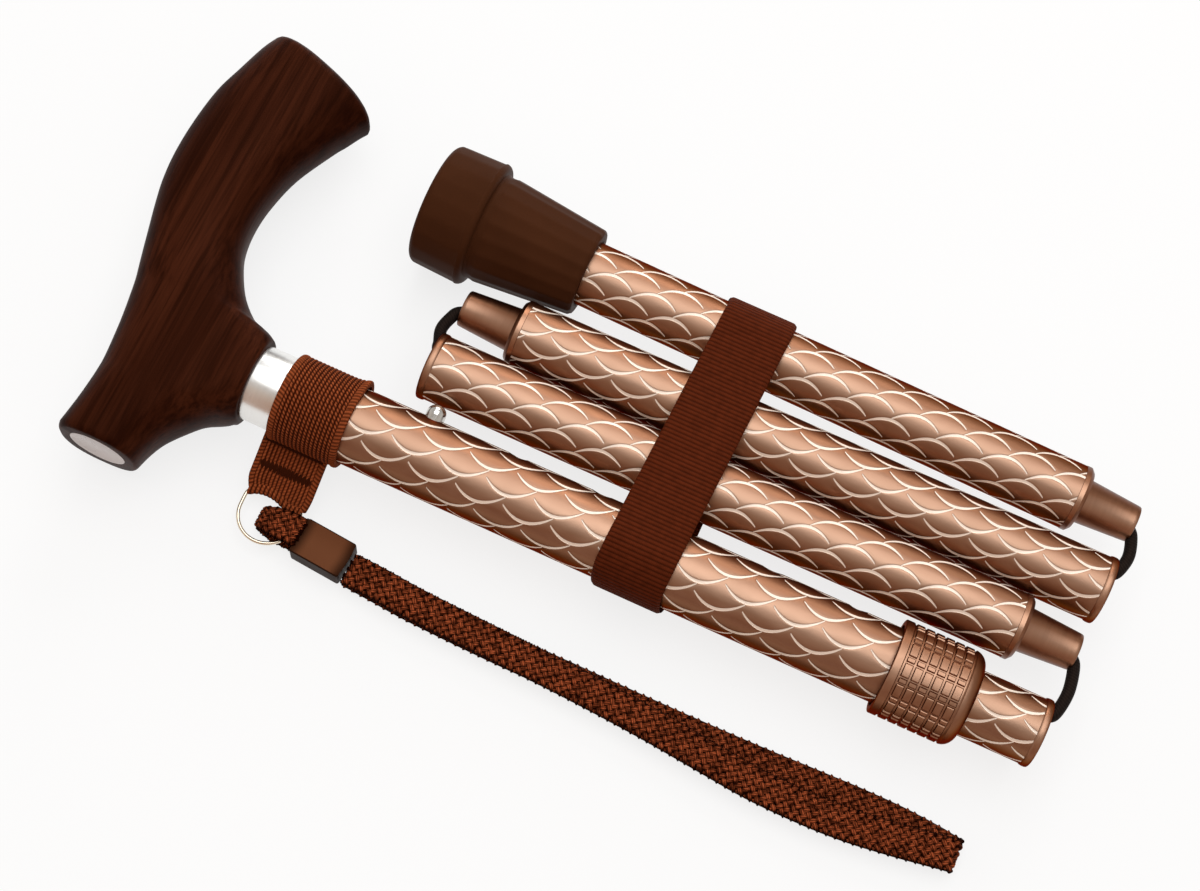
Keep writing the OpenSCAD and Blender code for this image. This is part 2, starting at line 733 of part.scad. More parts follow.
// Short loop of braid that holds the ring
module strap_eye() {
    color([0.42, 0.16, 0.07]) placed() translate([eye_x, eye_y, ring_z - axis_z]) rotate([90, 0, 0])
        translate([0, 0, -eye_w / 2]) linear_extrude(height = eye_w) difference() {
            union() {
                translate([eye_r, 0]) circle(r = eye_r);
                translate([eye_r, -eye_r]) square([eye_len - eye_r, eye_r * 2]);
            }
            translate([eye_r, 0]) circle(r = eye_gap_r);
            translate([eye_r, -eye_gap_r]) square([clip_x - eye_x, eye_gap_r * 2]);
        }
}

// Clip that gathers the braid
module strap_clip() {
    color([0.22, 0.12, 0.09]) placed() translate([clip_x, eye_y, ring_z - axis_z]) rotate([0, 0, clip_turn])
        translate([0, -clip_w / 2, -clip_thick / 2]) cube([clip_len, clip_w, clip_thick]);
}

// Long braided loop for the wrist, swept along its route
function strap_point(p) = [
    strap_x + p[0] * strap_reach, strap_y + p[1] * strap_w, low_z + p[2] * (high_z - low_z) - axis_z
];
function strap_ring_at(route, i) = let (
    ahead = pick(route, i + 1) - pick(route, i - 1),
    level = [-ahead[2], 0, ahead[0]] / norm([ahead[0], 0, ahead[2]])
) [for (q = oval_shares) route[i] + [0, q[0] * strap_w / 2, 0] + level * q[1] * strap_thick / 2];

module wrist_strap() {
    route = [for (p = strap_shares) strap_point(p)];
    strap_rings = [for (i = [0 : last(route)]) strap_ring_at(route, i)];
    color([0.42, 0.16, 0.07]) placed()
        polyhedron(points = flat(strap_rings), faces = skin_faces(len(oval_shares), len(route)), convexity = 6);
}

// Elastic band round all four sections
function band_arc(y, r, from, to) =
    [for (k = [0 : band_steps]) let (a = from + (to - from) * k / band_steps) [y + r * cos(a), r * sin(a)]];
function band_outline(out) = concat(
    band_arc(0, near_r + out, 90 - band_tilt, 270 + band_tilt),
    band_arc(far, far_r + out, band_tilt - 90, 90 - band_tilt)
);

module retaining_band() {
    color([0.25, 0.09, 0.05]) placed() translate([band_at - band_w / 2, 0, 0]) rotate([90, 0, 90]) difference() {
        linear_extrude(height = band_w) polygon(band_outline(band_thick));
        translate([0, 0, -over]) linear_extrude(height = band_w + over * 2) polygon(band_outline(0));
    }
}

handle_grip();
handle_badge();
handle_stem();
handle_ferrule();
upper_tube();
collet_bush();
strap_webbing();
lock_collar();
snap_clip();
inner_tube();
top_guide();
cord_anchor_1();
shock_cord_1();
socket_1();
fold_cord_1();
plug_2();
tube_2();
shock_cord_2();
socket_2();
fold_cord_2();
plug_3();
tube_3();
shock_cord_3();
socket_3();
fold_cord_3();
plug_4();
tube_4();
shock_cord_4();
cord_anchor_4();
tip_washer();
rubber_tip();
strap_ring();
strap_eye();
strap_clip();
wrist_strap();
retaining_band();
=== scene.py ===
import math
import bmesh
import bpy
import numpy as np
from mathutils import Matrix, Vector


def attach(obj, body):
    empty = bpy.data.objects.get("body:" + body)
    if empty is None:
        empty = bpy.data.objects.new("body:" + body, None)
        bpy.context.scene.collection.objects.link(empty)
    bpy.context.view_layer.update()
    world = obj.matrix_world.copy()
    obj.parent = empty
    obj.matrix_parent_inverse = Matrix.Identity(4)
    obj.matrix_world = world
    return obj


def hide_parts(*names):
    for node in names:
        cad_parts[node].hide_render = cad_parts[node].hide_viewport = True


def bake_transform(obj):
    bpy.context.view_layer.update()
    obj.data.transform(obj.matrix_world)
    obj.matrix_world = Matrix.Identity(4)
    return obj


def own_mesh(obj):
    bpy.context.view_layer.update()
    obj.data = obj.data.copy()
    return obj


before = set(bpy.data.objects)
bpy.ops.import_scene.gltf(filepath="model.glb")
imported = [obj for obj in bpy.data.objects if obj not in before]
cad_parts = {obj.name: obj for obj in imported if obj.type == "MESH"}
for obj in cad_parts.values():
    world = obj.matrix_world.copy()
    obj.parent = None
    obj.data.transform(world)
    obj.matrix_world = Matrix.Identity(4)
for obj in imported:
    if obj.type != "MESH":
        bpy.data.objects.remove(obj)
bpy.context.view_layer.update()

# The photographer's table: white paper under the folded cane, a wide softbox overhead and a smaller one low
# behind it, in a room that is dark and warm on the strap's side. The camera looks down from that side.
scene = bpy.context.scene
scene.view_settings.view_transform = "Standard"


def place(data, *finishes):
    """Puts a mesh, lamp or camera in the scene under its own name and in its finishes."""
    for finish in finishes:
        data.materials.append(finish)
    made = bpy.data.objects.new(data.name, data)
    scene.collection.objects.link(made)
    return made


camera_at = Vector((0.0416, -0.2018, 0.5886))
aim = (Vector((-0.00108, -0.00732, 0.0187)) - camera_at).normalized()
level = aim.cross(Vector((0, 1, 0))).normalized()
upright = Matrix((level, level.cross(aim), -aim)).transposed()
roll = Matrix.Rotation(math.radians(25.4), 3, "Z")
camera = place(bpy.data.cameras.new("camera"))
camera.matrix_world = Matrix.LocRotScale(camera_at, upright @ roll, None)
camera.data.lens = 65.27
camera.data.clip_start = 0.01
scene.camera = camera

for name, stands_at, size, power in (
    ("top_softbox", Vector((0.0, 0.30, 1.47)), 1.35, 12.2),
    ("back_softbox", Vector((-0.2, 1.5, 0.8)), 0.8, 9.0),
):
    softbox = place(bpy.data.lights.new(name, "AREA"))
    softbox.data.size, softbox.data.energy = size, power
    softbox.location = stands_at
    softbox.rotation_euler = (-stands_at).to_track_quat("-Z", "Y").to_euler()


class Value(np.lib.mixins.NDArrayOperatorsMixin):
    """What a node puts out. Reckoning with it, as with an array, adds Math nodes to its tree."""

    def __init__(self, socket):
        self.socket, self.tree = socket, socket.id_data

    def __array_ufunc__(self, function, _, *values):
        named = {"sin": "SINE", "cos": "COSINE", "remainder": "FLOORED_MODULO", "less": "LESS_THAN"}
        operation = named.get(function.__name__, function.__name__.upper())
        return out_of(new_node(self.tree, "Math", dict(enumerate(values)), operation=operation))


def feed(node, inputs):
    """Links the inputs that take another node's value, and sets the others."""
    for key, value in inputs.items():
        if isinstance(value, Value):
            node.id_data.links.new(value.socket, node.inputs[key])
        else:
            node.inputs[key].default_value = value
    return node


def new_node(tree, kind, inputs=None, **settings):
    made = tree.nodes.new("ShaderNode" + kind)
    for key, value in settings.items():
        setattr(made, key, value)
    return feed(made, inputs or {})


def out_of(node, key=0):
    return Value(node.outputs[key])


def parted(vector):
    """The first two parts of a vector value."""
    parts = new_node(vector.tree, "SeparateXYZ", {0: vector})
    return out_of(parts, 0), out_of(parts, 1)


def mixed(share, low, high, how="MIX"):
    """A colour between two others, each of them plain or a value."""
    low, high = (c if isinstance(c, Value) else (*c, 1) for c in (low, high))
    tree = next(c.tree for c in (share, low, high) if isinstance(c, Value))
    return out_of(new_node(tree, "Mix", {0: share, 6: low, 7: high}, data_type="RGBA", blend_type=how), 2)


def ramp(value, stops):
    """A colour that follows a value through the given stops."""
    made = new_node(value.tree, "ValToRGB", {0: value})
    steps = made.color_ramp.elements
    steps[0].position, steps[1].position = stops[0][0], stops[-1][0]
    for at, _ in stops[1:-1]:
        steps.new(at)
    for step, (_, tone) in zip(steps, stops):
        step.color = (*tone, 1)
    return out_of(made)


world = bpy.data.worlds.new("studio")
world.use_nodes = True
scene.world = world
tree = world.node_tree
lit_from = (0.0, 0.5, 0.866)
facing = out_of(new_node(tree, "TexCoord"), "Generated")
lit = out_of(new_node(tree, "VectorMath", {0: facing, 1: lit_from}, operation="DOT_PRODUCT"), "Value")
room = ramp(lit, [
    (0.02, (0.34, 0.165, 0.085)), (0.35, (0.40, 0.27, 0.18)), (0.65, (0.38, 0.36, 0.34)),
    (0.95, (0.36, 0.355, 0.35)),
])
sideways = abs(parted(facing)[0]) ** 1.5
feed(tree.nodes["Background"], {"Color": mixed(sideways, room, (0.64, 0.62, 0.60))})


def bare_finish(name):
    """A new material, with its node tree and its shader."""
    made = bpy.data.materials.new(name)
    made.use_nodes = True
    return made, made.node_tree, made.node_tree.nodes["Principled BSDF"]


sheet_mesh = bpy.data.meshes.new("table_sheet")
sheet_mesh.from_pydata([(-3, -3, 0), (3, -3, 0), (3, 3, 0), (-3, 3, 0)], [], [(0, 1, 2, 3)])
paper, tree, _ = bare_finish("paper")
rays = new_node(tree, "LightPath")
mirrored = np.maximum(out_of(rays, "Is Glossy Ray"), out_of(rays, "Is Transmission Ray"))
shown = np.maximum(out_of(rays, "Is Camera Ray"), mirrored)
matt = new_node(tree, "BsdfDiffuse", {"Color": mixed(shown, (0.52, 0.475, 0.45), (0.93, 0.93, 0.93))})
glow = new_node(tree, "Emission")
both = new_node(tree, "MixShader", {0: shown * 0.80, 1: out_of(matt), 2: out_of(glow)})
feed(tree.nodes["Material Output"], {"Surface": out_of(both)})
table_sheet = place(sheet_mesh, paper)

# The wrist strap: one flat braid of thick cotton yarn, plaited by machine from eighteen strands. Both ends
# are gathered in a dark clip, and it lies on the table as a long narrow loop.
mm = 0.001


def skin(name, rings, closed=False, along=None, around=None, angle=35, across_first=False):
    """A surface through rings of points, wrapped round, with flat ends unless it is closed."""
    rings = np.asarray(rings, float)
    m, n = rings.shape[:2]
    i = np.arange(m if closed else m - 1)[:, None]
    k = np.arange(n)[None, :]
    after, beside = (i + 1) % m, (k + 1) % n
    corners = (i * n + k, i * n + beside, after * n + beside, after * n + k)
    quads = np.stack(np.broadcast_arrays(*corners), -1).reshape(-1, 4)
    points = rings.reshape(-1, 3)
    a, b, c, d = (points[quads[:, q]] for q in range(4))
    order = -1 if np.sum(a * (np.cross(b, c) + np.cross(c, d))) < 0 else 1
    faces = quads[:, ::order].tolist()
    if not closed:
        faces += [list(range(n))[::-order], list(range((m - 1) * n, m * n))[::order]]
    mesh = bpy.data.meshes.new(name)
    mesh.from_pydata(points.tolist(), [], faces)
    if along is not None:
        u, v = np.asarray(along, float), np.asarray(around, float)
        us = np.stack([u[i], u[i], u[i + 1], u[i + 1]], -1)
        vs = np.stack([v[k], v[k + 1], v[k + 1], v[k]], -1)
        uv = np.stack(np.broadcast_arrays(us, vs), -1).reshape(-1, 4, 2)[:, ::order]
        values = np.zeros((len(mesh.loops), 2), np.float32)
        values[: len(quads) * 4] = uv.reshape(-1, 2)[:, :: -1 if across_first else 1]
        mesh.uv_layers.new(name="run").data.foreach_set("uv", values.ravel())
    mesh.shade_smooth()
    mesh.set_sharp_from_angle(angle=math.radians(angle))
    return mesh


def through(points, count, lead=0.0):
    """A smooth curve through points, with count steps from each to the next."""
    p = np.asarray(points, float)
    ends = np.concatenate([p[:1] - lead * (p[1:2] - p[:1]), p, p[-1:] + lead * (p[-1:] - p[-2:-1])])
    t = (np.arange(count) / count).reshape(-1, *[1] * (p.ndim - 1))
    a, b, c, d = (ends[q : q + len(p) - 1, None] for q in range(4))
    curve = 0.5 * (2 * b + (c - a) * t + (2 * a - 5 * b + 4 * c - d) * t**2 + (3 * b - a - 3 * c + d) * t**3)
    return np.concatenate([curve.reshape(-1, *p.shape[1:]), p[-1:]])


def run_along(points):
    """How far along a line each of its points lies."""
    return np.concatenate([[0], np.cumsum(np.linalg.norm(np.diff(points, axis=0), axis=1))])


def resampled(points, step):
    """Points at even steps along a smooth curve through the given ones."""
    fine = through(points, 24, lead=1.0)
    run = run_along(fine)
    at = np.linspace(0, run[-1], max(2, int(round(run[-1] / step)) + 1))
    return np.stack([np.interp(at, run, fine[:, q]) for q in range(3)], 1), at


def unit(v):
    return v / np.linalg.norm(v, axis=-1, keepdims=True)


def joined(name, meshes):
    """One mesh from several, keeping their own run coordinates and sharp edges."""
    whole = bmesh.new()
    for part in meshes:
        whole.from_mesh(part)
    made = bpy.data.meshes.new(name)
    whole.to_mesh(made)
    whole.free()
    return made


def circle(count):
    return np.arange(count) * math.tau / count


def braid(name, route, width, thick, lay, waist=0.0):
    """A flat tubular braid along a route: pairs of strands wind both ways and pass over and under."""
    pairs, yarn_wide, yarn_high, lift = 9, 0.88 * mm, 0.70 * mm, 0.56 * mm
    across = np.array((0, 1.0, 0))
    line, run = resampled(route, lay / (pairs * 6))
    ahead = unit(np.gradient(line, axis=0))
    wide = unit(across - (ahead @ across)[:, None] * ahead)
    up = np.cross(ahead, wide)
    half_w, half_t = width / 2 - yarn_high, max(thick / 2 - yarn_high - lift, 0.2 * mm)
    draw_in = 1 - waist * np.exp(-(((run / run[-1] - 0.5) / 0.17) ** 2))
    uneven = np.random.default_rng(7)
    phi = np.linspace(0, math.tau, 721)
    oval = np.stack([half_w * np.cos(phi), half_t * np.sign(np.sin(phi)) * abs(np.sin(phi)) ** 0.8], 1)
    share = run_along(oval)
    share /= share[-1]
    strands = []
    for way in (1, -1):
        for s in range(pairs):
            turn = (s / pairs + way * run / lay) % 1.0
            p = np.stack([np.interp(turn, share, oval[:, q]) for q in range(2)], 1)
            out = unit(p * (half_t / half_w**2, half_w / half_t**2) + 1e-12)
            on_top = way * np.cos(math.tau * pairs * run / lay)
            at_edge = np.clip(np.abs(p[:, 0]) / half_w, 0, 1) ** 5
            p[:, 0] *= draw_in
            p = p + out * (lift * on_top * (1 - 0.9 * at_edge))[:, None]
            sway = [uneven.uniform(0, 6.28), uneven.uniform(0, 6.28)]
            slack = 0.16 * mm * (np.sin(run / (3.1 * mm) + sway[0]) + np.sin(run / (1.9 * mm) + sway[1]))
            path = line + wide * p[:, :1] + up * p[:, 1:] + ahead * slack[:, None]
            lead = unit(np.gradient(path, axis=0))
            side = unit(np.cross(lead, wide * out[:, :1] + up * out[:, 1:]))
            radial = np.cross(side, lead)
            plump = (yarn_wide * (0.84 + 0.16 * on_top) * (1 - 0.3 * at_edge) * draw_in)[:, None]
            rings = [path + side * plump * math.cos(a) + radial * (yarn_high * math.sin(a)) for a in circle(8)]
            # over: the phase by which the yarn effect paints the strand light where it lies on top and shaded
            # where it dives under
            over = run * pairs / lay + (0 if way > 0 else 0.5)
            strands.append(skin("strand", np.stack(rings, 1), along=over, around=np.arange(9) / 8, angle=80))
    core_w, core_t = (half_w + 0.3 * yarn_high) * draw_in[:, None], half_t + 0.2 * yarn_high
    core = [line + wide * core_w * math.cos(a) + up * core_t * math.sin(a) for a in circle(16)]
    # the filling's run coordinates sit where the yarn effect gives its darkest tone: painted shade in the gaps
    # between the strands
    strands.append(skin("filling", np.stack(core, 1), along=0 * run + 0.42, around=np.full(17, 0.25), angle=80))
    return joined(name, strands), line


strap_shares = np.array([
    (0, 0, 0.27), (0.05, -0.06, 0.12), (0.12, -0.14, 0), (0.25, -0.2, 0), (0.38, -0.2, 0), (0.5, -0.2, 0),
    (0.6, -0.18, 0), (0.68, -0.15, 0), (0.76, -0.1, 0), (0.83, -0.06, 0), (0.90, -0.06, 0), (0.955, -0.12, 0),
    (0.980, -0.18, 0.07), (0.989, -0.22, 0.25), (0.992, -0.26, 0.5), (0.989, -0.3, 0.75), (0.980, -0.34, 0.93),
    (0.955, -0.42, 1), (0.90, -0.58, 1), (0.83, -0.74, 1), (0.76, -0.80, 1), (0.68, -0.78, 1), (0.6, -0.65, 1),
    (0.5, -0.48, 1), (0.38, -0.34, 1), (0.25, -0.25, 1), (0.12, -0.16, 1), (0.05, -0.06, 0.95), (0, 0, 0.77),
])
strap_w, strap_thick, strap_lay = 10.4 * mm, 2.9 * mm, 22 * mm
strap_from, strap_reach = np.array((-50.27, -65.3, 1.8)), np.array((184, 10.4, 3.8))
strap_route = (strap_from + strap_reach * strap_shares) * mm
strap_mesh, strap_line = braid("wrist_strap_braid", strap_route, strap_w, strap_thick, strap_lay)


def group(name, inputs, outputs=("Height", "Shade")):
    """An empty shared effect: its tree, the values that it is given and the node for its results."""
    made = bpy.data.node_groups.new(name, "ShaderNodeTree")
    for label, start in inputs.items():
        kind = "NodeSocketVector" if start is None else "NodeSocketFloat"
        socket = made.interface.new_socket(label, in_out="INPUT", socket_type=kind)
        if start is not None:
            socket.default_value = start
    for label in outputs:
        made.interface.new_socket(label, in_out="OUTPUT", socket_type="NodeSocketFloat")
    head = made.nodes.new("NodeGroupInput")
    return made, {label: out_of(head, label) for label in inputs}, made.nodes.new("NodeGroupOutput")


def spot(tree):
    """Where on its piece a point lies."""
    return out_of(new_node(tree, "TexCoord"), "Object")


def noise(at, scale, detail, **more):
    return out_of(new_node(at.tree, "TexNoise", {"Vector": at, "Scale": scale, "Detail": detail, **more}))


def raised(height, strength, distance):
    return out_of(new_node(height.tree, "Bump", {"Strength": strength, "Distance": distance, "Height": height}))


# shared effect: a braided yarn, with painted light where it lies on top of the braid and painted shade where it
# dives under, at its sides and in the grooves between its plies, over blotches of dye
plaited, given, result = group("plaited_yarn", {"Run": None, "Blotch": 260.0})
x, y = parted(given["Run"])
# painted light where the yarn lies on top of the braid, painted shade where it dives under and at its sides
painted_bobble_light = (np.cos(x * math.tau) * 0.46 + 0.54) * np.maximum(np.sin(y * math.tau), 0.0)
plies = abs(np.sin((y * 7.0 + x * 2.6) * math.pi))
dye, fuzz = noise(spot(plaited), given["Blotch"], 3), noise(spot(plaited), 2600, 2)
# painted shade in the grooves between the plies, times blotches of dye
ply_shade_and_dye = (plies * 0.9 + 0.1) * (dye * 4.0 - 1.05)
feed(result, {"Height": plies + fuzz * 0.6, "Shade": painted_bobble_light**2.6 * ply_shade_and_dye})


def run_of(tree):
    return out_of(new_node(tree, "UVMap", uv_map="run"))


def cloth_finish(name, dark, light, bump, effect, rough=0.85, **settings):
    """A dyed yarn or webbing: blotches of dye with painted light and shade from its threads' relief, that relief
    as bumps and a faint warm sheen.
    """
    made, tree, shader = bare_finish(name)
    threads = new_node(tree, "Group", {"Run": run_of(tree), **settings}, node_tree=effect)
    feed(shader, {
        "Base Color": mixed(out_of(threads, "Shade"), dark, light),
        "Normal": raised(out_of(threads, "Height"), 0.8, bump),
        "Roughness": rough, "Specular IOR Level": 0.1, "Specular Tint": (1.0, 0.45, 0.25, 1),
    })
    return made


def fitted(mesh, finish, node, body):
    """Places a finished piece instead of a plain node and on the body that moves it."""
    piece = place(mesh, finish)
    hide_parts(node)
    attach(piece, body)
    return piece


# dark tone: painted shade under and between the strands; light tone: painted light on top of them; both varied by
# dye
braid_cotton = cloth_finish(
    "braid_cotton", (0.011, 0.0009, 0.0002), (0.41, 0.090, 0.031), 0.20 * mm, plaited, Blotch=560)
wrist_strap = fitted(strap_mesh, braid_cotton, "wrist_strap", "wrist_strap")

# The eye of the strap: a short turn of the same braid, folded round the metal ring and caught by the clip,
# so that the strap hangs on the ring.
eye_route = np.array([
    (-66.6, -62.5, 7.4), (-69.5, -62.3, 7.5), (-73.0, -62.3, 7.3), (-75.9, -62.3, 6.9), (-77.9, -62.3, 5.9),
    (-78.5, -62.3, 4.6), (-78.5, -62.3, 3.8), (-77.9, -62.3, 2.5), (-75.9, -62.3, 1.7), (-73.0, -62.3, 1.55),
    (-69.5, -62.3, 1.6), (-66.6, -62.5, 1.7),
]) * mm
eye_w, eye_thick, eye_lay = 10.0 * mm, 2.7 * mm, 20 * mm
eye_mesh, _ = braid("strap_eye_braid", eye_route, eye_w, eye_thick, eye_lay, waist=0.28)
strap_eye = fitted(eye_mesh, braid_cotton, "strap_eye", "wrist_strap")


# The ring: a bent length of plated wire, closed behind the webbing's roll. It joins the strap to the webbing
# on the shaft.
def wire(name, points, radius, step, sides=12, shut=False):
    """A round bar or cord swept along a smooth route."""
    line, run = resampled(points, step)
    ahead = unit(np.gradient(line, axis=0))
    side = [unit(np.cross(ahead[0], (0, 0, 1.0)))]
    for lead in ahead[1:]:
        side.append(unit(side[-1] - (side[-1] @ lead) * lead))
    side = np.array(side)
    up = np.cross(ahead, side)
    rings = np.stack([line + radius * (side * math.cos(a) + up * math.sin(a)) for a in circle(sides)], 1)
    run, around = np.append(run, run[-1]) / mm, np.arange(sides + 1) / sides
    return skin(name, rings[:-1] if shut else rings, closed=shut, along=run, around=around)


ring_at = np.array((-77.575, -56.4, 4.2)) * mm
ring_r, ring_side, wire_r = 8.3 * mm, 4.3 * mm, 0.55 * mm
bow = [(ring_r * math.cos(a), ring_r * math.sin(a) - ring_side, 0) for a in np.radians(np.linspace(0, -180, 19))]
bar = [(ring_r * s, 1.0 * mm * (1 - s * s), 0.6 * mm * (1 - s * s)) for s in (0, 0.5, 0.9)]
bar.append((ring_r, -0.12 * ring_r, 0))
ring_route = ring_at + np.array([*bar, *bow, *((-x, y, z) for x, y, z in bar[::-1])])
ring_mesh = wire("strap_ring_wire", ring_route, wire_r, 0.5 * mm, shut=True)


def spread(value, low, high, to_low, to_high, **how):
    """A value carried from one range to another, and held at the ends."""
    ends = {"Value": value, "From Min": low, "From Max": high, "To Min": to_low, "To Max": to_high}
    return out_of(new_node(value.tree, "MapRange", ends, **how))


def metal_finish(name, colour, rough, grain=0.06, scale=900, stretch=(1, 1, 1), metallic=1, tint=(1, 1, 1)):
    """A plain metal: its colour, with roughness that varies as polishing or drawing leaves it."""
    made, tree, shader = bare_finish(name)
    drawn = out_of(new_node(tree, "Mapping", {"Vector": spot(tree), "Scale": stretch}))
    marks = noise(drawn, scale, 4)
    feed(shader, {
        "Base Color": mixed(marks, [c * 0.9 for c in colour], [min(1, c * 1.08) for c in colour]),
        "Roughness": spread(marks, 0.3, 0.7, rough - grain, rough + grain),
        "Metallic": metallic, "Specular Tint": (*tint, 1),
    })
    return made


plated_wire = metal_finish("plated_wire", (0.80, 0.70, 0.56), 0.2)
strap_ring = fitted(ring_mesh, plated_wire, "strap_ring", "wrist_strap")

# The clip: a moulded brown plastic sleeve, pressed over the gathered braid. Its top is hollowed across like a
# saddle. Its colour is painted lighter on the saddle and towards its middle: a painted highlight on the top and
# painted shade on its dark sides and ends.
clip_at = np.array((-66.7, -63.0, 4.2)) * mm
clip_turn = np.array(Matrix.Rotation(math.radians(-5), 3, "Z"))
clip_len, half_w, half_t, clip_round, clip_hollow = 15.4 * mm, 5.4 * mm, 4.0 * mm, 0.45 * mm, 1.7 * mm
saddle = [(s * (half_w - clip_round), half_t - clip_hollow * (1 - s * s)) for s in np.linspace(1, -1, 19)]
corner = np.radians((25, 50, 75, 90))
flank = [(clip_round * (1 - math.sin(a)) - half_w, half_t - clip_round * (1 - math.cos(a))) for a in corner]
flank += [(-half_w, clip_round - half_t), (clip_round - half_w, -half_t)]
section = np.array([*saddle, *flank, *((-y, z) for y, z in flank[::-1])])
on_saddle = np.repeat((1.0, 0.0, 1.0), (len(saddle), 2 * len(flank), 1))
clip_steps = np.array((0, 0.012, 0.035, 0.25, 0.5, 0.75, 0.965, 0.988, 1.0))
clip_rings = []
for share in clip_steps:
    ease = 1 - 0.06 * np.clip(1 - min(share, 1 - share) / 0.035, 0, 1) ** 2
    ring = np.insert(section * ease, 0, clip_len * share, axis=1)
    clip_rings.append(ring @ clip_turn.T + clip_at)
clip_mesh = skin("strap_clip_sleeve", clip_rings, along=clip_steps, around=on_saddle, angle=40)


def moulded_finish(name, colour, rough, bump=0.03 * mm, gloss=0.2, tint=(1, 1, 1)):
    """A moulded plastic or rubber: an even colour, slight flow marks and a fine mould grain."""
    made, tree, shader = bare_finish(name)
    flow, grain = noise(spot(tree), 90, 4), noise(spot(tree), 1500, 2)
    feed(shader, {
        "Base Color": mixed(flow, [c * 0.82 for c in colour], [c * 1.18 for c in colour]),
        "Roughness": spread(flow, 0.3, 0.7, rough - 0.06, rough + 0.06),
        "Normal": raised(grain, 0.4, bump),
        "Specular IOR Level": gloss, "Specular Tint": (*tint, 1),
    })
    return made


def fed(finish, key):
    """The shader of a finish, and the value that one of its inputs takes now."""
    shader = finish.node_tree.nodes["Principled BSDF"]
    return shader, Value(shader.inputs[key].links[0].from_socket)


clip_plastic = moulded_finish("clip_plastic", (0.022, 0.0080, 0.0038), 0.42, gloss=0.03, tint=(1.0, 0.5, 0.32))
x, y = parted(run_of(clip_plastic.node_tree))
# painted highlight: lighter towards the middle of the clip and only on the saddle, leaving painted shade on the
# sides and ends
painted_top_light = spread(abs(x * 2.0 - 1.0), 0.5, 1.0, 1.0, 0.12, interpolation_type="SMOOTHSTEP") * y
shader, plain = fed(clip_plastic, "Base Color")
feed(shader, {"Base Color": mixed(painted_top_light, plain, (0.172, 0.063, 0.028))})
strap_clip = fitted(clip_mesh, clip_plastic, "strap_clip", "wrist_strap")


# The webbing: a strip of ribbed elastic sewn into a loop round the top of the shaft. Its two layers are
# stitched together below the shaft and rolled round the bar of the ring.
def turned(name, base, along, radius, sides=96, closed=True, run=None, turns=math.tau, **more):
    """A turned or wrapped piece about the X axis of a base frame; its radius may vary round it."""
    along, radius = np.asarray(along, float)[:, None], np.asarray(radius, float)
    r = radius if radius.ndim == 2 else np.repeat(radius[:, None], sides, 1)
    theta = circle(sides)
    local = np.stack([along + 0 * r, r * np.sin(theta), r * np.cos(theta)], -1)
    m = np.array(base)
    run = along[:, 0] / mm if run is None else run
    around = np.arange(sides + 1) * turns / sides
    rings = local @ m[:3, :3].T + m[:3, 3]
    return skin(name, rings, closed=closed, along=np.append(run, run[0]), around=around, **more)


shaft_top = np.array((-94.875, -31.4, 18.7)) * mm
section_1 = Matrix.Translation(shaft_top)
web_at, web_w, web_in, web_out = 9.3 * mm, 20.8 * mm, 11.08 * mm, 12.5 * mm
edge_w, rib_w, stitch_len = 1.9, 1.215, 1.1


def knit_parts(way, side, width, depth):
    """The way in from the edge, the columns of stitches and the edge's wrapping, from millimetres."""
    edge = np.minimum(side, width - side)
    column = (side - edge_w) / rib_w
    stitch = np.cos((way / stitch_len + (column % 1 - 0.5) * 0.8) * math.tau) * 0.5 + 0.5
    rope = abs(np.sin(column * math.pi)) * (1 - depth + depth * stitch)
    return edge, rope, np.cos((way / stitch_len + edge * 0.6 / edge_w) * math.tau) * 0.25


def knit(x, way, width, depth=0.45):
    """Height of the webbing: columns of stitches between two thick edges; x across, way along the columns."""
    edge, rope, wrap = knit_parts(way / mm, x / mm, width / mm, depth)
    cord = np.sqrt(np.clip(1 - (edge / edge_w * 2 - 1) ** 2, 0, 1))
    return np.where(edge < edge_w, 0.5 * cord * (wrap + 0.75), 0.36 * rope) * mm


# shared effect: the same columns, with painted light on the stitches and painted shade between them, over
# blotches of dye
knitted, given, result = group("knitted_columns", {"Run": None, "Width": web_w / mm, "Stitch": 0.75})
edge, rope, wrap = knit_parts(*parted(given["Run"]), given["Width"], given["Stitch"])
height = out_of(new_node(knitted, "Mix", {0: edge < edge_w, 2: rope, 3: wrap + 0.6}))
dye = noise(spot(knitted), 700, 3)
# Shade: painted light on the raised stitches and edges, painted shade in the hollows between them, times blotches
# of dye
feed(result, {"Height": height, "Shade": height**1.6 * (dye * 0.9 + 0.55)})


theta = circle(264)
across = np.linspace(0, web_w, 150)
relief = knit(across[:, None], theta[None, :] * web_out, web_w)
loose_at, loose_span = math.radians(62), math.radians(26)
slack = np.clip((across[:, None] / web_w - 0.72) / 0.28, 0, 1) ** 2
loose = slack * np.exp(-(((theta - loose_at) / loose_span) ** 2))
outside = web_out - 0.2 * mm + relief + loose * 1.0 * mm
inside = np.stack([web_in + loose[-1] * 0.9 * mm, web_in + 0 * theta])
web_along = np.concatenate([across, [web_w, 0]])
web_mesh = turned(
    "webbing_loop", section_1, web_at + web_along, np.vstack([outside, inside]), sides=264, angle=60,
    run=web_along / mm, turns=math.tau * web_out / mm, across_first=True)
# dark tone: painted shade between the columns of stitches; light tone: painted light on them
webbing_elastic = cloth_finish(
    "webbing_elastic", (0.026, 0.0026, 0.0004), (0.41, 0.097, 0.031), 0.08 * mm, knitted)
fitted(web_mesh, webbing_elastic, "strap_webbing", "upper")

tab_w, tab_half, tab_from, tab_len, arch = 19.6 * mm, 0.95 * mm, 11.4 * mm, 16.9 * mm, 2.2 * mm
tab_mid = shaft_top + np.array((17.3, 0, 0)) * mm
tab_way = unit(np.array((0, -25.0, -14.5)))
tab_up = np.array((0, tab_way[2], -tab_way[1]))


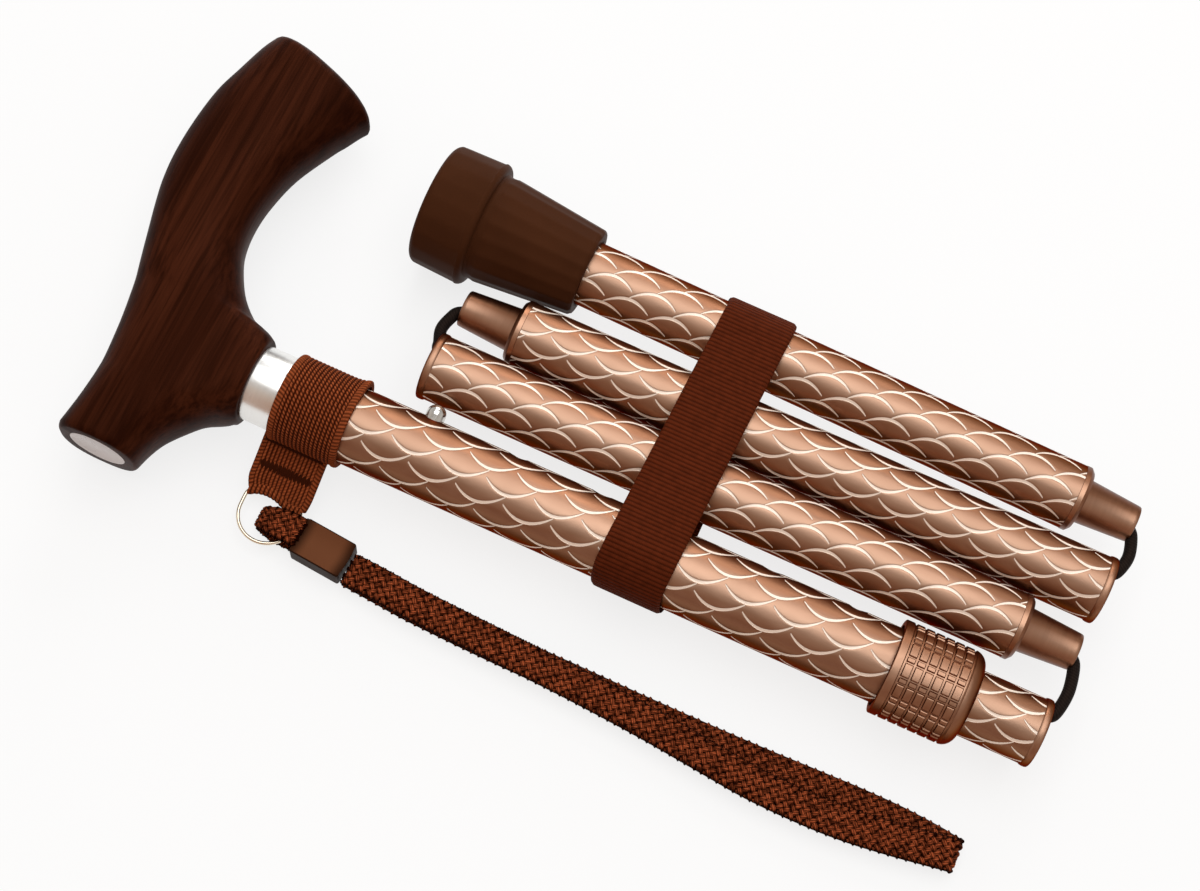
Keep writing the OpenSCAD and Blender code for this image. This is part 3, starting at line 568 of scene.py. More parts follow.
def tab_bow(x):
    """How far the rolled end is drawn up by the ring, at x across the tab."""
    return arch * np.clip(1 - ((x + 2.4 * mm) / (6.4 * mm)) ** 2, 0, 1)


steps = np.linspace(0, 1, 100)
x = np.linspace(-0.5, 0.5, 110)
tab_rings = []
for s in steps:
    narrow = 1 - np.where(x < 0, 0.16, 0.05) * np.clip((s - 0.72) / 0.28, 0, 1) ** 1.8
    reach = tab_from + tab_len * s - tab_bow(x * tab_w) * s**5
    rise = knit((x + 0.5) * tab_w, reach, tab_w, depth=0.15)
    under_bar = np.exp(-(((s - 0.50) / 0.075) ** 6)) * (np.abs(x) < 0.41)
    under_line = np.exp(-(((s - 0.07) / 0.05) ** 4)) * (np.abs(x) < 0.45)
    rise = rise * (1 - 0.85 * np.maximum(under_bar, under_line)) + (0.2 * under_bar - 0.35 * under_line) * mm
    lip = np.sqrt(np.clip(1 - np.abs(2 * x) ** 30, 0.0, 1))
    spine = tab_mid + np.outer(x * narrow * tab_w, (1, 0, 0)) + np.outer(reach, tab_way)
    face = np.outer(tab_half * lip + rise, tab_up)
    tab_rings.append(np.vstack([spine + face, (spine - face)[::-1]]))
side_run = np.linspace(0, web_w / mm, 110)
tab_around = np.concatenate([side_run, side_run[::-1], [0]])
tab_mesh = skin("tab_layers", tab_rings, along=(tab_from + steps * tab_len) / mm, around=tab_around, angle=60)
roll_r, roll_half = 1.7 * mm, 8.1 * mm
roll_rings = []
a = circle(40)
for x in np.linspace(-roll_half, roll_half, 90):
    middle = ring_at + np.array((x, 0, 0)) - tab_way * tab_bow(x)
    r = roll_r + 0.7 * knit(np.full(40, x + roll_half), a * 2 * mm, 2 * roll_half)
    roll_rings.append(middle + np.outer(r * np.cos(a), tab_way) + np.outer(r * np.sin(a), tab_up))
roll_around = np.arange(41) * math.tau / 40 * 2
roll_run = np.linspace(2.2, 18.4, 90)
roll_mesh = skin("tab_roll", roll_rings, along=roll_run, around=roll_around, angle=60, across_first=True)
# the tab takes the same painted light on its stitches and painted shade between them
tab = place(joined("webbing_tab", [tab_mesh, roll_mesh]), cloth_finish(
    "tab_elastic", (0.028, 0.0028, 0.0004), (0.40, 0.092, 0.029), 0.08 * mm, knitted, Stitch=0.35))
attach(tab, "upper")

# The bar tacks: dense zigzag stitching in dark thread, one across the tab and one where its layers part below
# the shaft, just under the fold of the loop, where its dark thread also paints the shadow under that fold.
tacks = []
# the second, narrower tack is partly a stitch line and partly painted shadow under the fold
for share, wide, half_len in ((0.50, 1.55 * mm, 8.0 * mm), (0.075, 0.9 * mm, 8.9 * mm)):
    threads = np.linspace(-half_len, half_len, 230)
    rings = []
    for x, pulse in zip(threads, np.abs(np.sin(math.pi * threads / (0.62 * mm)))):
        middle = tab_mid + np.array((x, 0, 0)) + tab_way * (tab_from + tab_len * share) + tab_up * tab_half
        end = 1.0 if abs(x) < half_len - 0.3 * mm else 0.55
        high = (0.25 + 0.16 * pulse) * mm
        wide_way, high_way = tab_way * wide * end, tab_up * high * end
        rings.append([middle + wide_way * math.cos(a) + high_way * math.sin(a) for a in circle(14)])
    tacks.append(skin("tack", rings, along=threads / mm, around=np.arange(15) / 14, angle=60))

# shared effect: spun fibres on a yarn, in its own run coordinates, with blotches of worn and dark dye and painted
# shade in the grooves between its plies
spun, given, result = group("spun_fibres", {"Run": None, "Twist": 0.3, "Plies": 7.0, "Blotch": 260.0})
x, y = parted(given["Run"])
plies = abs(np.sin((x * given["Twist"] + y * given["Plies"]) * math.pi))
dye, fuzz = noise(spot(spun), given["Blotch"], 3), noise(spot(spun), 2600, 2)
# Shade: blotches of dye, with painted shade in the grooves between the plies
feed(result, {"Height": plies * 0.7 + fuzz * 0.5, "Shade": dye * 0.5 + plies * 0.5})
bar_tacks = place(joined("webbing_bar_tacks", tacks), cloth_finish(
    "dark_thread", (0.018, 0.003, 0.001), (0.055, 0.010, 0.003), 0.05 * mm, spun, rough=0.7,
    Twist=3, Plies=2, Blotch=300))
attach(bar_tacks, "upper")

# The handle: one piece of hardwood shaped to the palm, with a long arm and a short blunt nose, stained dark,
# sanded and finished in satin lacquer, then bored and glued on the stem.
handle_size, handle_half, neck_r, neck_wall = 100 * mm, 12.5 * mm, 12.1 * mm, 1.2 * mm
arm_dome, nose_round, edge_share = 4.2 * mm, 1.8 * mm, 0.03
back_shares = [
    (0.420, -0.340), (0.414, -0.300), (0.408, -0.255), (0.404, -0.205), (0.402, -0.165), (0.402, -0.130),
    (0.406, -0.080), (0.415, 0.000), (0.428, 0.080), (0.436, 0.122), (0.444, 0.155), (0.458, 0.210),
    (0.475, 0.278), (0.492, 0.345), (0.508, 0.420), (0.517, 0.510), (0.515, 0.620), (0.502, 0.735),
    (0.476, 0.825), (0.448, 0.915), (0.425, 0.965),
]
front_shares = [
    (0.180, -0.340), (0.168, -0.300), (0.147, -0.255), (0.108, -0.205), (0.064, -0.160), (0, -0.121),
    (0, -0.080), (0, 0.000), (0, 0.080), (0, 0.121), (0.070, 0.148), (0.134, 0.206),
    (0.182, 0.280), (0.207, 0.345), (0.215, 0.425), (0.206, 0.515), (0.178, 0.622), (0.120, 0.742),
    (0.100, 0.775), (0.078, 0.815), (0.063, 0.838),
]
thick_shares = [0.95, 0.96, 0.97, 0.98, 0.99] + [1] * 15 + [0.99]


def handle_ring(back, front, half, edge, count=28):
    """A ring round the handle from its back line to its front line, with the given edge at the front."""
    s = (1 - np.cos(np.pi * np.arange(count + 1) / count)) / 2
    dome = np.clip(1 - np.abs(2 * s - 1) ** 2.5, 0, 1) ** 0.4
    swell = half * np.where(s < 0.5, dome, edge + (1 - edge) * dome)
    line = back + (front - back) * s[:, None]
    return np.vstack([np.column_stack([line, swell]), np.column_stack([line, -swell])[:0:-1]])


backs = through(back_shares, 5) * (-handle_size, handle_size)
fronts = through(front_shares, 5)
fronts[:, 0] = np.maximum(fronts[:, 0], 0)
fronts = fronts * (-handle_size, handle_size)
halves = through(thick_shares, 5) * handle_half
handle_rings = []
for back, front, half in zip(backs, fronts, halves):
    mouth = math.sqrt(max(neck_r**2 - front[1] ** 2, 0)) / handle_half if front[0] > -neck_wall else 0
    handle_rings.append(handle_ring(back, front, half, max(edge_share, mouth)))


def capped(at, draw, move):
    """An end ring of the handle, drawn in about its middle and moved outwards."""
    middle = (backs[at] + fronts[at]) / 2
    ends = [middle + (end - middle) * draw + move for end in (backs[at], fronts[at])]
    return handle_ring(*ends, halves[at] * draw, edge_share)


chord = fronts[-1] - backs[-1]
arm_out = np.array((-chord[1], chord[0])) / np.linalg.norm(chord) * arm_dome
arm_bend = np.radians(np.linspace(12, 88, 9))
arm_end = [capped(-1, math.cos(a) ** 0.9, arm_out * math.sin(a)) for a in arm_bend]
nose_steps = ((0.905, 1), (0.93, 0.94), (0.955, 0.8), (0.975, 0.58), (0.99, 0.3))
nose_end = [capped(0, draw, np.array((0, -nose_round * move))) for draw, move in nose_steps]
recess_r, recess_x, recess_deep = 8.35 * mm, -30 * mm, 0.98 * mm
face = nose_end[0]
phi = np.arctan2(face[:, 2], face[:, 0] - recess_x)
rim_x, rim_z = recess_x + recess_r * np.cos(phi), recess_r * np.sin(phi)
recess = [np.column_stack([rim_x, face[:, 1] + deep, rim_z]) for deep in (recess_deep, 0.0)]
handle_mesh = skin("handle_wood", np.array([*recess, *nose_end, *handle_rings, *arm_end]) + shaft_top, angle=40)

stained_wood, tree, shader = bare_finish("stained_wood")


def grain(scale, detail, **more):
    """Noise drawn out along the arm, as the wood grew."""
    lie = {"Vector": spot(tree), "Scale": scale, "Rotation": (0.0, 0.0, -0.12)}
    return noise(out_of(new_node(tree, "Mapping", lie)), 1, detail, **more)


figure = grain((75, 6, 75), 4, Distortion=0.6)
lines = spread(grain((560, 9, 560), 3, Roughness=0.6), 0.36, 0.56, 0.30, 1)
pores = spread(grain((1500, 60, 1500), 3), 0.30, 0.52, 0.6, 1)
stain = ramp(figure, [(0.34, (0.020, 0.0040, 0.0014)), (0.68, (0.056, 0.0138, 0.0057))])
feed(shader, {
    "Base Color": mixed(pores * lines, (0.012, 0.0024, 0.0009), stain),
    "Roughness": spread(figure, 0.3, 0.7, 0.50, 0.38),
    "Normal": raised(pores, 0.35, 0.08 * mm),
    "Specular IOR Level": 0.035, "Specular Tint": (1.0, 0.38, 0.22, 1),
})
fitted(handle_mesh, stained_wood, "handle_grip", "upper")

# The disc in the nose: a plain disc of white enamelled metal with a fine turned rim, glued in the recess at
# the blunt end of the handle.
nose_at = shaft_top + np.array((recess_x, -35.8 * mm, 0))
nose_face = Matrix.Translation(nose_at) @ Matrix.Rotation(math.radians(90), 4, "Z")
disc_profile = np.array([
    (0.95, 0.02), (0.95, 8.2), (0.08, 8.25), (0.0, 8.1), (-0.02, 7.6), (0.06, 7.35), (0.06, 0.02),
]) * mm
white_enamel = moulded_finish("white_enamel", (0.80, 0.80, 0.83), 0.3, bump=0.005 * mm)
disc_mesh = turned("nose_disc", nose_face, *disc_profile.T, closed=False)
fitted(disc_mesh, white_enamel, "handle_badge", "upper")

# The ferrule: a short polished and plated tube between the handle and the shaft, pressed on the stem and
# slightly rounded at its rims.
ferrule_profile = np.array([
    (0.02, 9.95), (0.02, 10.6), (0.3, 10.85), (0.6, 10.9),
    (11.4, 10.9), (11.7, 10.85), (11.98, 10.6), (11.98, 9.95),
]) * mm
polished_chrome = metal_finish(
    "polished_chrome", (0.92, 0.92, 0.90), 0.26, grain=0.012, stretch=(4, 0.3, 0.3), metallic=0.75)
ferrule_mesh = turned("handle_ferrule_sleeve", section_1, *ferrule_profile.T, sides=128)
fitted(ferrule_mesh, polished_chrome, "handle_ferrule", "upper")

# The shaft tubes: drawn aluminium tube, anodised bronze and then engraved all round with rows of overlapping
# scales, whose bright bottoms show the bare metal. The wide upper tube has a row of holes.
scale_rows, scale_sag, scale_skew = 14, 0.68, 0.205
cut_thick, cut_thin, cut_soft, cut_deep = 0.44, 0.14, 0.09, 0.08 * mm
wide_r, wide_pitch, slim_r, slim_pitch = 11 * mm, 14.1, 9.5 * mm, 13.4


def scale_cut(x, y, pitch, row):
    """Depth share of the engraving at x scales along and y rows round; pitch and row are in millimetres."""
    cuts = []
    for step in (0, 1):
        k = np.floor(y) + step
        t = (k % 2 * 0.5 + x) % 1 * 2 - 1
        arc = k - scale_sag * (1 - t * t) + scale_skew * t
        slope = (2 * scale_sag * t + scale_skew) * 2 * row / pitch
        away = abs(y - arc) * row / np.sqrt(1 + slope * slope)
        half = cut_thick - (cut_thick - cut_thin) * t * t
        s = np.minimum(np.maximum((half + cut_soft - away) / (2 * cut_soft), 0), 1)
        cuts.append(s * s * (3 - 2 * s))
    return np.maximum(*cuts)


# shared effect: the same engraving for the finish, in scales along and rows round
scales, given, result = group("engraved_scales", {"Run": None, "Pitch": slim_pitch, "Row": 4.26}, ("Cut",))
feed(result, {"Cut": scale_cut(*parted(given["Run"]), given["Pitch"], given["Row"])})


def bronze_finish(name, colour, rough, **surface):
    """Anodised bronze, its colour painted darker where the surface turns away from the view: painted shade at its
    edges.
    """
    made = metal_finish(name, colour, rough, **surface)
    shader, plain = fed(made, "Base Color")
    # painted shade: the base colour is multiplied darker as the surface turns side-on to the view
    turned_away = out_of(new_node(made.node_tree, "LayerWeight", {"Blend": 0.5}), "Facing")
    depth = ramp(turned_away, [
        (0, (1, 1, 1)), (0.20, (0.62, 0.47, 0.38)), (0.34, (0.46, 0.32, 0.24)), (0.50, (0.37, 0.23, 0.16)),
        (0.80, (0.26, 0.14, 0.085)),
    ])
    feed(shader, {"Base Color": mixed(1.0, plain, depth, how="MULTIPLY")})
    return made


tube_bronze, tube_rough = (0.485, 0.300, 0.208), 0.42


def tube_finish(name, pitch, radius):
    """Tube bronze with the bright engraving worked out from the same arcs as the mesh."""
    made = bronze_finish(
        name, tube_bronze, tube_rough, grain=0.05, scale=420, stretch=(0.25, 1, 1), tint=(0.5, 0.25, 0.13))
    tree = made.node_tree
    row = math.tau * radius / mm / scale_rows
    cut = out_of(new_node(tree, "Group", {"Run": run_of(tree), "Pitch": pitch, "Row": row}, node_tree=scales))
    shader, plain = fed(made, "Base Color")
    satin = fed(made, "Roughness")[1]
    feed(shader, {
        "Base Color": mixed(cut, plain, (1.0, 0.86, 0.74)),
        "Roughness": out_of(new_node(tree, "Mix", {0: cut, 2: satin, 3: 0.4})),
        "Metallic": cut * -0.75 + 1.0,
        "Normal": raised(1.0 - cut, 0.8, 0.14 * mm),
    })
    return made


bronze_plain = bronze_finish("bronze_plain", tube_bronze, tube_rough, grain=0.05, scale=420)
wide_scales = tube_finish("bronze_scales_wide", wide_pitch, wide_r)
slim_scales = tube_finish("bronze_scales_slim", slim_pitch, slim_r)


def scaled_tube(name, base, start, end, outer, inner, pitch, way, finish, sides=176):
    """A tube with its scales cut in the mesh; way is -1 where the section is turned round, else 1."""
    along = np.linspace(start, end, int(abs(end - start) / (0.40 * mm)) + 2)
    rows = way * np.arange(sides) * scale_rows / sides
    row = math.tau * outer / mm / scale_rows
    cut = scale_cut((way * along / mm / pitch)[:, None], rows[None, :], pitch, row)
    edge = np.clip(np.minimum(np.abs(along - start), np.abs(along - end)) / (0.8 * mm), 0, 1)[:, None]
    radius = np.vstack([outer - cut_deep * cut * edge, np.full((2, sides), inner)])
    there_and_back = np.append(along, along[[-1, 0]])
    run = way * there_and_back / mm / pitch
    mesh = turned(name, base, there_and_back, radius, sides=sides, angle=50, run=run, turns=way * scale_rows)
    kind = np.zeros(len(mesh.polygons), np.int32)
    kind[(len(along) - 1) * sides :] = 1
    mesh.polygons.foreach_set("material_index", kind)
    return place(mesh, finish, bronze_plain)


upper_tube = scaled_tube(
    "upper_tube_scaled", section_1, 12.02 * mm, 199 * mm, wide_r, 9.9 * mm, wide_pitch, 1, wide_scales, sides=196)
first_hole, hole_step, hole_r, hole_lean = 49.6 * mm, 25.4 * mm, 3 * mm, math.radians(20)
hole_out = np.array((0, math.cos(hole_lean), math.sin(hole_lean)))
hole_up = np.array((0, -hole_out[2], hole_out[1]))
hole_rim = hole_r * np.array([(math.cos(a), 0, 0) + math.sin(a) * hole_up for a in circle(32)])
drills = []
for number in range(6):
    foot = shaft_top + np.array((first_hole + hole_step * number, 0, 0))
    drills.append(skin("drill", [foot + hole_out * reach + hole_rim for reach in (6 * mm, 13 * mm)]))
drill = place(joined("drill", drills))
bored = upper_tube.modifiers.new("holes", "BOOLEAN")
bored.object, bored.operation, bored.solver = drill, "DIFFERENCE", "EXACT"
with_holes = bpy.data.meshes.new_from_object(upper_tube.evaluated_get(bpy.context.evaluated_depsgraph_get()))
upper_tube.modifiers.clear()
upper_tube.data = with_holes
bpy.data.objects.remove(drill)
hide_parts("upper_tube")
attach(upper_tube, "upper")

turn_round = Matrix.Rotation(math.pi, 4, "Z")
section_2 = section_1 @ Matrix.Translation(Vector((235.9, 25.4, 0)) * mm)
section_3 = section_1 @ Matrix.Translation(Vector((42.4, 45.1, 0)) * mm) @ turn_round
askew = Matrix.Rotation(math.radians(-1.1), 4, "Z")
section_4 = section_1 @ Matrix.Translation(Vector((238.2, 66.8, 0)) * mm) @ askew
for node, base, start, end, way, body in (
    ("inner_tube", section_1, 28, 232.28, 1, "section_1"),
    ("tube_2", section_2, -192.48, -18.42, -1, "section_2"),
    ("tube_3", section_3, -192.48, -18.42, -1, "section_3"),
    ("tube_4", section_4, -208.1, -18.42, -1, "section_4"),
):
    tube = scaled_tube(
        node + "_scaled", base, start * mm, end * mm, slim_r, 8.5 * mm, slim_pitch, way, slim_scales)
    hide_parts(node)
    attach(tube, body)

# The spring button: a bent strip of spring steel inside the top of the inner tube, with a domed stud that
# clicks into one of the holes and sets the height.
stud_r, stud_foot, dome_at = 2.85, 7.4, 12.15
dome = [(dome_at + stud_r * math.sin(a), stud_r * math.cos(a)) for a in np.linspace(0, 1.53, 14)]
stud_profile = np.array([(stud_foot, 0.02), (stud_foot, stud_r), *dome, (dome_at + stud_r, 0.02)]) * mm
at_hole = section_1 @ Matrix.Translation((first_hole, 0, 0)) @ Matrix.Rotation(hole_lean, 4, "X")
stud_base = at_hole @ Matrix.Rotation(math.radians(90), 4, "Z")
spring_steel = metal_finish("stud_steel", (0.72, 0.70, 0.66), 0.2, scale=600)
stud_mesh = turned("spring_stud", stud_base, *stud_profile.T, sides=40, closed=False)
fitted(stud_mesh, spring_steel, "snap_clip", "snap_clip")
strip_deep, strip_half_w, strip_half_t = 7.35, 2.45, 0.3
strip_line = np.array([(-4.6, strip_deep), (4.6, strip_deep), (24.5, 0.0), (-4.6, -strip_deep)])
strip_rings = []
for t, (along, deep) in enumerate(strip_line):
    lead = unit(strip_line[min(t + 1, 3)] - strip_line[max(t - 1, 0)]) * strip_half_t
    corners = ((1, 1), (1, -1), (-1, -1), (-1, 1))
    strip_rings.append([(along - s * lead[1], w * strip_half_w, deep + s * lead[0]) for s, w in corners])
strip_base = np.array(at_hole @ Matrix.Rotation(math.radians(-90), 4, "X"))
strip_rings = (np.array(strip_rings) * mm) @ strip_base[:3, :3].T + strip_base[:3, 3]
strip = place(skin("spring_strip", strip_rings, angle=30), spring_steel)
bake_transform(strip)

# The lock collar: a turned and knurled aluminium nut, anodised bronze. It screws down on the split bush at
# the foot of the upper tube and grips the inner tube.
collar_r, collar_bore, thread_r, rim_r = 13.7, 9.82, 12.0, 0.35
collar_at, shoulder_at, collar_end, thread_end = 189.7, 210.0, 213.9, 209.0
shoulder = np.radians(np.linspace(0, 88, 15))[1:]
slope = shoulder_at + (collar_end - shoulder_at) * np.sin(shoulder)
slope_r = collar_bore + (collar_r - collar_bore) * np.cos(shoulder)
reach = np.concatenate([np.linspace(collar_at, shoulder_at, 170), slope])
outer_line = np.concatenate([np.full(170, collar_r), slope_r])
outer_line -= rim_r * np.clip(1 - (reach - collar_at) / rim_r, 0, 1) ** 2
grip_at, grip_pitch, grip_rings, pad_pairs, knurl_deep = 192.6, 2.88, 6, 14, 0.5
groove_half, groove_soft, slot_at, slot_half, slot_soft = 0.44, 0.18, 0.92, 0.37, 0.16
ring_gap = np.min([np.abs(reach - (grip_at + grip_pitch * groove)) for groove in range(grip_rings + 1)], axis=0)
ring_cut = np.clip((groove_half - ring_gap) / groove_soft, 0, 1)
in_grip = (reach > grip_at) & (reach < grip_at + grip_pitch * grip_rings)
half_pad = math.pi / pad_pairs
pair = ((circle(560) + half_pad) % (2 * half_pad) - half_pad) * collar_r
pair_cut = np.clip((slot_half - np.abs(np.abs(pair) - slot_at)) / slot_soft, 0, 1)
knurl = np.maximum(ring_cut[:, None], in_grip[:, None] * pair_cut[None, :])
knurl = knurl * knurl * (3 - 2 * knurl)
bores = [np.full((1, 560), r) for r in (collar_bore, thread_r, thread_r)]
collar_radius = np.vstack([outer_line[:, None] - knurl_deep * knurl, *bores]) * mm
collar_along = np.concatenate([reach, [collar_end, thread_end, collar_at]]) * mm
collar_mesh = turned("lock_collar_nut", section_1, collar_along, collar_radius, sides=560, angle=50)
bronze_satin = bronze_finish(
    "bronze_satin", (0.49, 0.290, 0.195), 0.42, grain=0.05, scale=500, tint=(0.5, 0.22, 0.11))
fitted(collar_mesh, bronze_satin, "lock_collar", "lock_collar")

# The plugs: turned aluminium, tapered so that they wedge in the socket of the next section. Each has a flange
# that meets the rim, and a spigot pressed into its tube.
plug_profile = np.array([
    (-30.4, 2.4), (-30.4, 8.45), (-18.4, 8.45), (-18.4, 9.5), (-18.32, 9.62), (-17.0, 9.62), (-16.88, 9.55),
    (-16.0, 8.62), (-15.85, 8.45), (-15.8, 6.55), (-15.6, 6.42), (-1.2, 5.4), (-0.45, 5.32), (-0.12, 5.15),
    (0, 4.9), (0, 3.6), (-0.4, 3.0), (-2.0, 2.4),
]) * mm
bronze_turned = bronze_finish(
    "bronze_turned", (0.52, 0.310, 0.210), 0.36, grain=0.04, scale=500, stretch=(3, 0.3, 0.3))
for number, base in ((2, section_2), (3, section_3), (4, section_4)):
    plug_mesh = turned(f"plug_{number}_turned", base, *plug_profile.T, angle=30)
    fitted(plug_mesh, bronze_turned, f"plug_{number}", f"section_{number}")

# The sockets: turned aluminium liners with a rolled rim, pressed into the foot of each tube, bored to the
# taper of the plugs and drilled through for the elastic cord.
socket_profile = np.array([
    (-21.4, 2.4), (-21.4, 8.45), (-2.3, 8.45), (-2.3, 9.55), (-2.05, 9.74), (-1.6, 9.84), (-1.15, 9.85),
    (-0.7, 9.84), (-0.25, 9.72), (-0.06, 9.5), (0, 9.2), (0, 6.9), (-0.25, 6.66), (-15.8, 5.6), (-16.8, 5.55),
    (-16.8, 2.4),
]) * mm
first_foot = Matrix.Translation((234.6 * mm, 0, 0))
other_foot = Matrix.Translation((-194.8 * mm, 0, 0)) @ turn_round
for number, base in ((1, section_1 @ first_foot), (2, section_2 @ other_foot), (3, section_3 @ other_foot)):
    socket_mesh = turned(f"socket_{number}_turned", base, *socket_profile.T, angle=40)
    fitted(socket_mesh, bronze_satin, f"socket_{number}", f"section_{number}")

# The elastic cord: black shock cord with a woven cover, tight inside the tubes. Where it shows it runs out of
# one socket, across the fold, and back into the next plug.
cord_r, socket_deep = 1.75 * mm, 16.8
elastic_cover = cloth_finish(
    "elastic_cover", (0.0035, 0.003, 0.003), (0.016, 0.014, 0.013), 0.10 * mm, spun, rough=0.6,
    Twist=1.2, Plies=4, Blotch=700)
for number, (leaves, far_end, enters, near, beside) in enumerate((
    (217.8, 237.7, 233.9, 0, 25.4), (57.9, 39.3, 44.4, 25.4, 45.1), (220.4, 240.0, 236.2, 45.1, 66.8),
), 1):
    way = 1 if far_end > leaves else -1
    mouth = leaves + way * socket_deep
    route = [
        (leaves, near, 0), (leaves + way * 8, near + 1.4, 0),
        (mouth - way * 3, near + 4.0, 0), (mouth, near + 5.3, 0),
        (far_end - way * 1.2, near + 7.2, 0), (far_end, (near + beside) / 2 + 1.2, 0),
        (far_end - way * 0.9, beside - 4.6, 0), (far_end - way * 2.4, beside - 2.0, 0),
        (enters - way * 2.0, beside - 0.2, 0),
    ]
    cord_name = f"fold_cord_{number}"
    cover = wire(cord_name + "_cover", np.array(route) * mm + shaft_top, cord_r, 0.5 * mm, sides=20)
    fold_cord = place(cover, elastic_cover)
    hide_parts(cord_name)
    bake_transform(fold_cord)
for number in range(1, 5):
    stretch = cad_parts[f"shock_cord_{number}"]
    stretch.data.materials.clear()
    stretch.data.materials.append(elastic_cover)


# The tip: a moulded brown rubber foot with a thick flange and a lightly fluted cone, pushed on the last tube
# over a steel washer.
def bead(x, r, size, angles):
    """A rounded edge of a profile about its own middle."""
    return [(x + size * math.sin(a), r + size * math.cos(a)) for a in angles]


tip_profile = np.array([
    (0, 0.02), (0, 6), (0.5, 6.3), (0.5, 9.2), (0, 9.5), (0, 15.6),
    *bead(2.4, 15.7, 2.4, np.linspace(-1.45, 0, 9)), (14.6, 18.5),
    *bead(14.9, 16.66, 2.0, np.linspace(0.1, 1.5, 9)),
    (17.0, 16.2), (17.5, 15.75), (18.2, 15.7), (19.1, 15.85), (19.7, 15.98), (20.4, 15.95), (47.6, 13.25),
    *bead(47.9, 11.9, 1.3, np.linspace(0.1, 1.5, 8)), (49.2, 10.2), (48.6, 9.62), (7.95, 9.62), (7.95, 0.02),
]) * mm
tip_along, tip_r = tip_profile.T
tip_base, flutes, flute_deep = 217.5 * mm, 20, 0.26 * mm
on_cone = (tip_along > 19 * mm) & (tip_r > 12.5 * mm)
on_flange = (tip_r > 18.0 * mm) & (tip_along < 15 * mm)
flute = flute_deep * np.abs(np.sin(flutes / 2 * circle(144)))
tip_radius = tip_r[:, None] - (on_cone + 0.6 * on_flange)[:, None] * flute
tip_mesh = turned(
    "rubber_tip_moulded", section_4, tip_along - tip_base, tip_radius, sides=144, closed=False, angle=32)
brown_rubber = moulded_finish("brown_rubber", (0.055, 0.0182, 0.0074), 0.46, gloss=0.03, tint=(1.0, 0.45, 0.26))
fitted(tip_mesh, brown_rubber, "rubber_tip", "section_4")

# The band: a loop of ribbed elastic tape, woven dark brown and sewn shut underneath. It is stretched over the
# folded sections and keeps them together.
band_at, band_w, near_r, far_r, far, band_thick = 118.4, 20.4, 11.62, 10.12, 69.09, 1.15
tilt = math.asin((near_r - far_r) / far)


def bend(radius, middle, start, end, count):
    """The arc of the band round an outer tube."""
    a = np.linspace(start, end, count)
    return np.stack([np.cos(a), np.sin(a)], 1) * (radius + band_thick / 2) + (middle, 0)


near_bend = bend(near_r, 0, math.pi / 2 - tilt, 3 * math.pi / 2 + tilt, 240)
far_bend = bend(far_r, far, tilt - math.pi / 2, math.pi / 2 - tilt, 210)
low_side = np.linspace(near_bend[-1], far_bend[0], 420)[1:-1]
top_side = np.linspace(far_bend[-1], near_bend[0], 420)[1:-1]
loop = np.vstack([near_bend, low_side, far_bend, top_side, near_bend[:1]])
loop_run = run_along(loop)
even = np.linspace(0, loop_run[-1], 1250, endpoint=False)
loop = np.stack([np.interp(even, loop_run, loop[:, q]) for q in range(2)], 1)
ahead = unit(np.roll(loop, -1, 0) - np.roll(loop, 1, 0))
outward = np.stack([ahead[:, 1], -ahead[:, 0]], 1)
ridge_w, ridge_high, ridge_foot, band_lean = 1.25, 0.10, 0.07, 0.041
rib_count = round(loop_run[-1] / ridge_w)
rib = ridge_high * np.abs(np.sin(math.pi * even / loop_run[-1] * rib_count)) - ridge_foot
band_sides = [(x, 1) for x in np.linspace(-0.5, 0.5, 26)] + [(x, -1) for x in np.linspace(0.5, -0.5, 8)]
band_rings = []
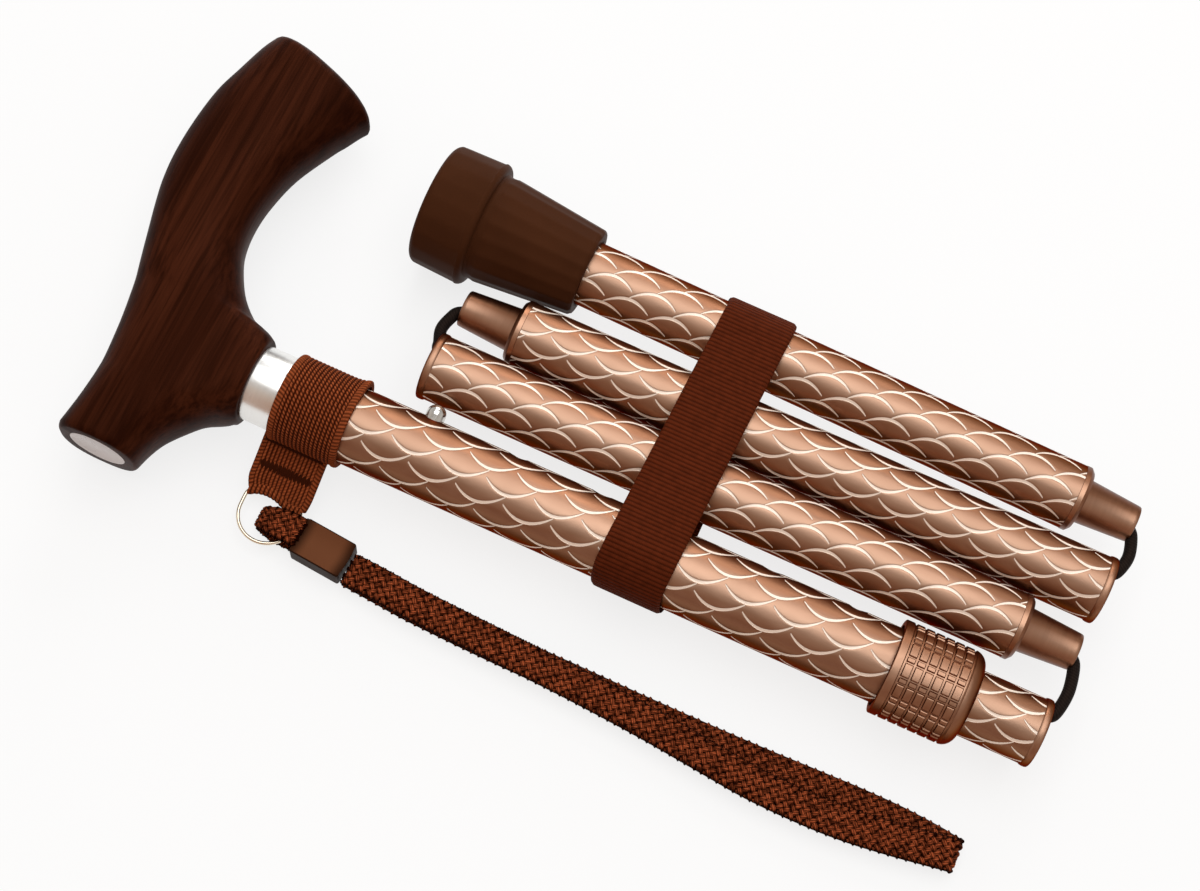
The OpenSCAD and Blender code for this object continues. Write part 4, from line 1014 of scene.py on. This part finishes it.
for p, o, lift in zip(loop, outward, rib):
    ring = []
    skew = band_lean * (p[0] - 0.5 * far) * (0.5 + 0.5 * np.clip(p[1] / 8.0, -1, 1))
    for x, side in band_sides:
        rolled = math.sqrt(max(0.0, 1 - abs(2 * x) ** 24))
        half = band_thick / 2 * rolled + lift if side > 0 else (band_thick / 2 - 0.25) * rolled
        ring.append((band_at + skew + x * band_w, *(p + o * side * half)))
    band_rings.append(ring)
band_run = np.append(even, loop_run[-1]) / loop_run[-1] * rib_count
band_mesh = skin(
    "retaining_band_tape", np.array(band_rings) * mm + shaft_top, closed=True, along=band_run,
    around=np.arange(35) / 34, angle=60)

# shared effect: crosswise ribs of the woven tape, with fine warp threads over them; painted light on the crests
# and painted shade in the valleys between them, over blotches of dye
ribbed, given, result = group("ribbed_tape", {"Run": None, "Threads": 60.0})
x, y = parted(given["Run"])
ridge, warp = abs(np.sin(x * math.pi)), abs(np.sin(y * given["Threads"] * math.pi))
dye = noise(spot(ribbed), 500, 3)
# Shade: painted light on the crests of ribs and threads, painted shade in the valleys, times blotches of dye
feed(result, {"Height": warp * 0.3 + ridge, "Shade": (warp * 0.25 + ridge**0.7) * (dye * 0.8 + 0.4)})
# dark tone: painted shade between the ribs; light tone: painted light on their crests
band_weave = cloth_finish(
    "band_weave", (0.016, 0.0022, 0.0005), (0.105, 0.0175, 0.005), 0.08 * mm, ribbed, rough=0.75)
band = fitted(band_mesh, band_weave, "retaining_band", "retaining_band")
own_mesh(band)

# Inside the shaft: the steel stem in the handle, the split bush under the collar, the plastic guide and cord
# anchors, and the washer in the tip. They keep their plain turned forms.
black_moulded = moulded_finish("black_moulded", (0.012, 0.011, 0.011), 0.45, bump=0.01 * mm)
stem_steel = metal_finish("stem_steel", (0.48, 0.47, 0.46), 0.35, scale=500)
washer_steel = metal_finish("washer_steel", (0.5, 0.5, 0.5), 0.3, grain=0.05, scale=500)
plastic_nodes = ("collet_bush", "top_guide", "cord_anchor_1", "cord_anchor_4")
for node, finish, kind in (
    ("handle_stem", stem_steel, "stem_metal"), ("tip_washer", washer_steel, "bright_metal"),
    *((node, black_moulded, "black_plastic") for node in plastic_nodes),
):
    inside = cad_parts[node]
    inside.data.materials.clear()
    inside.data.materials.append(finish)
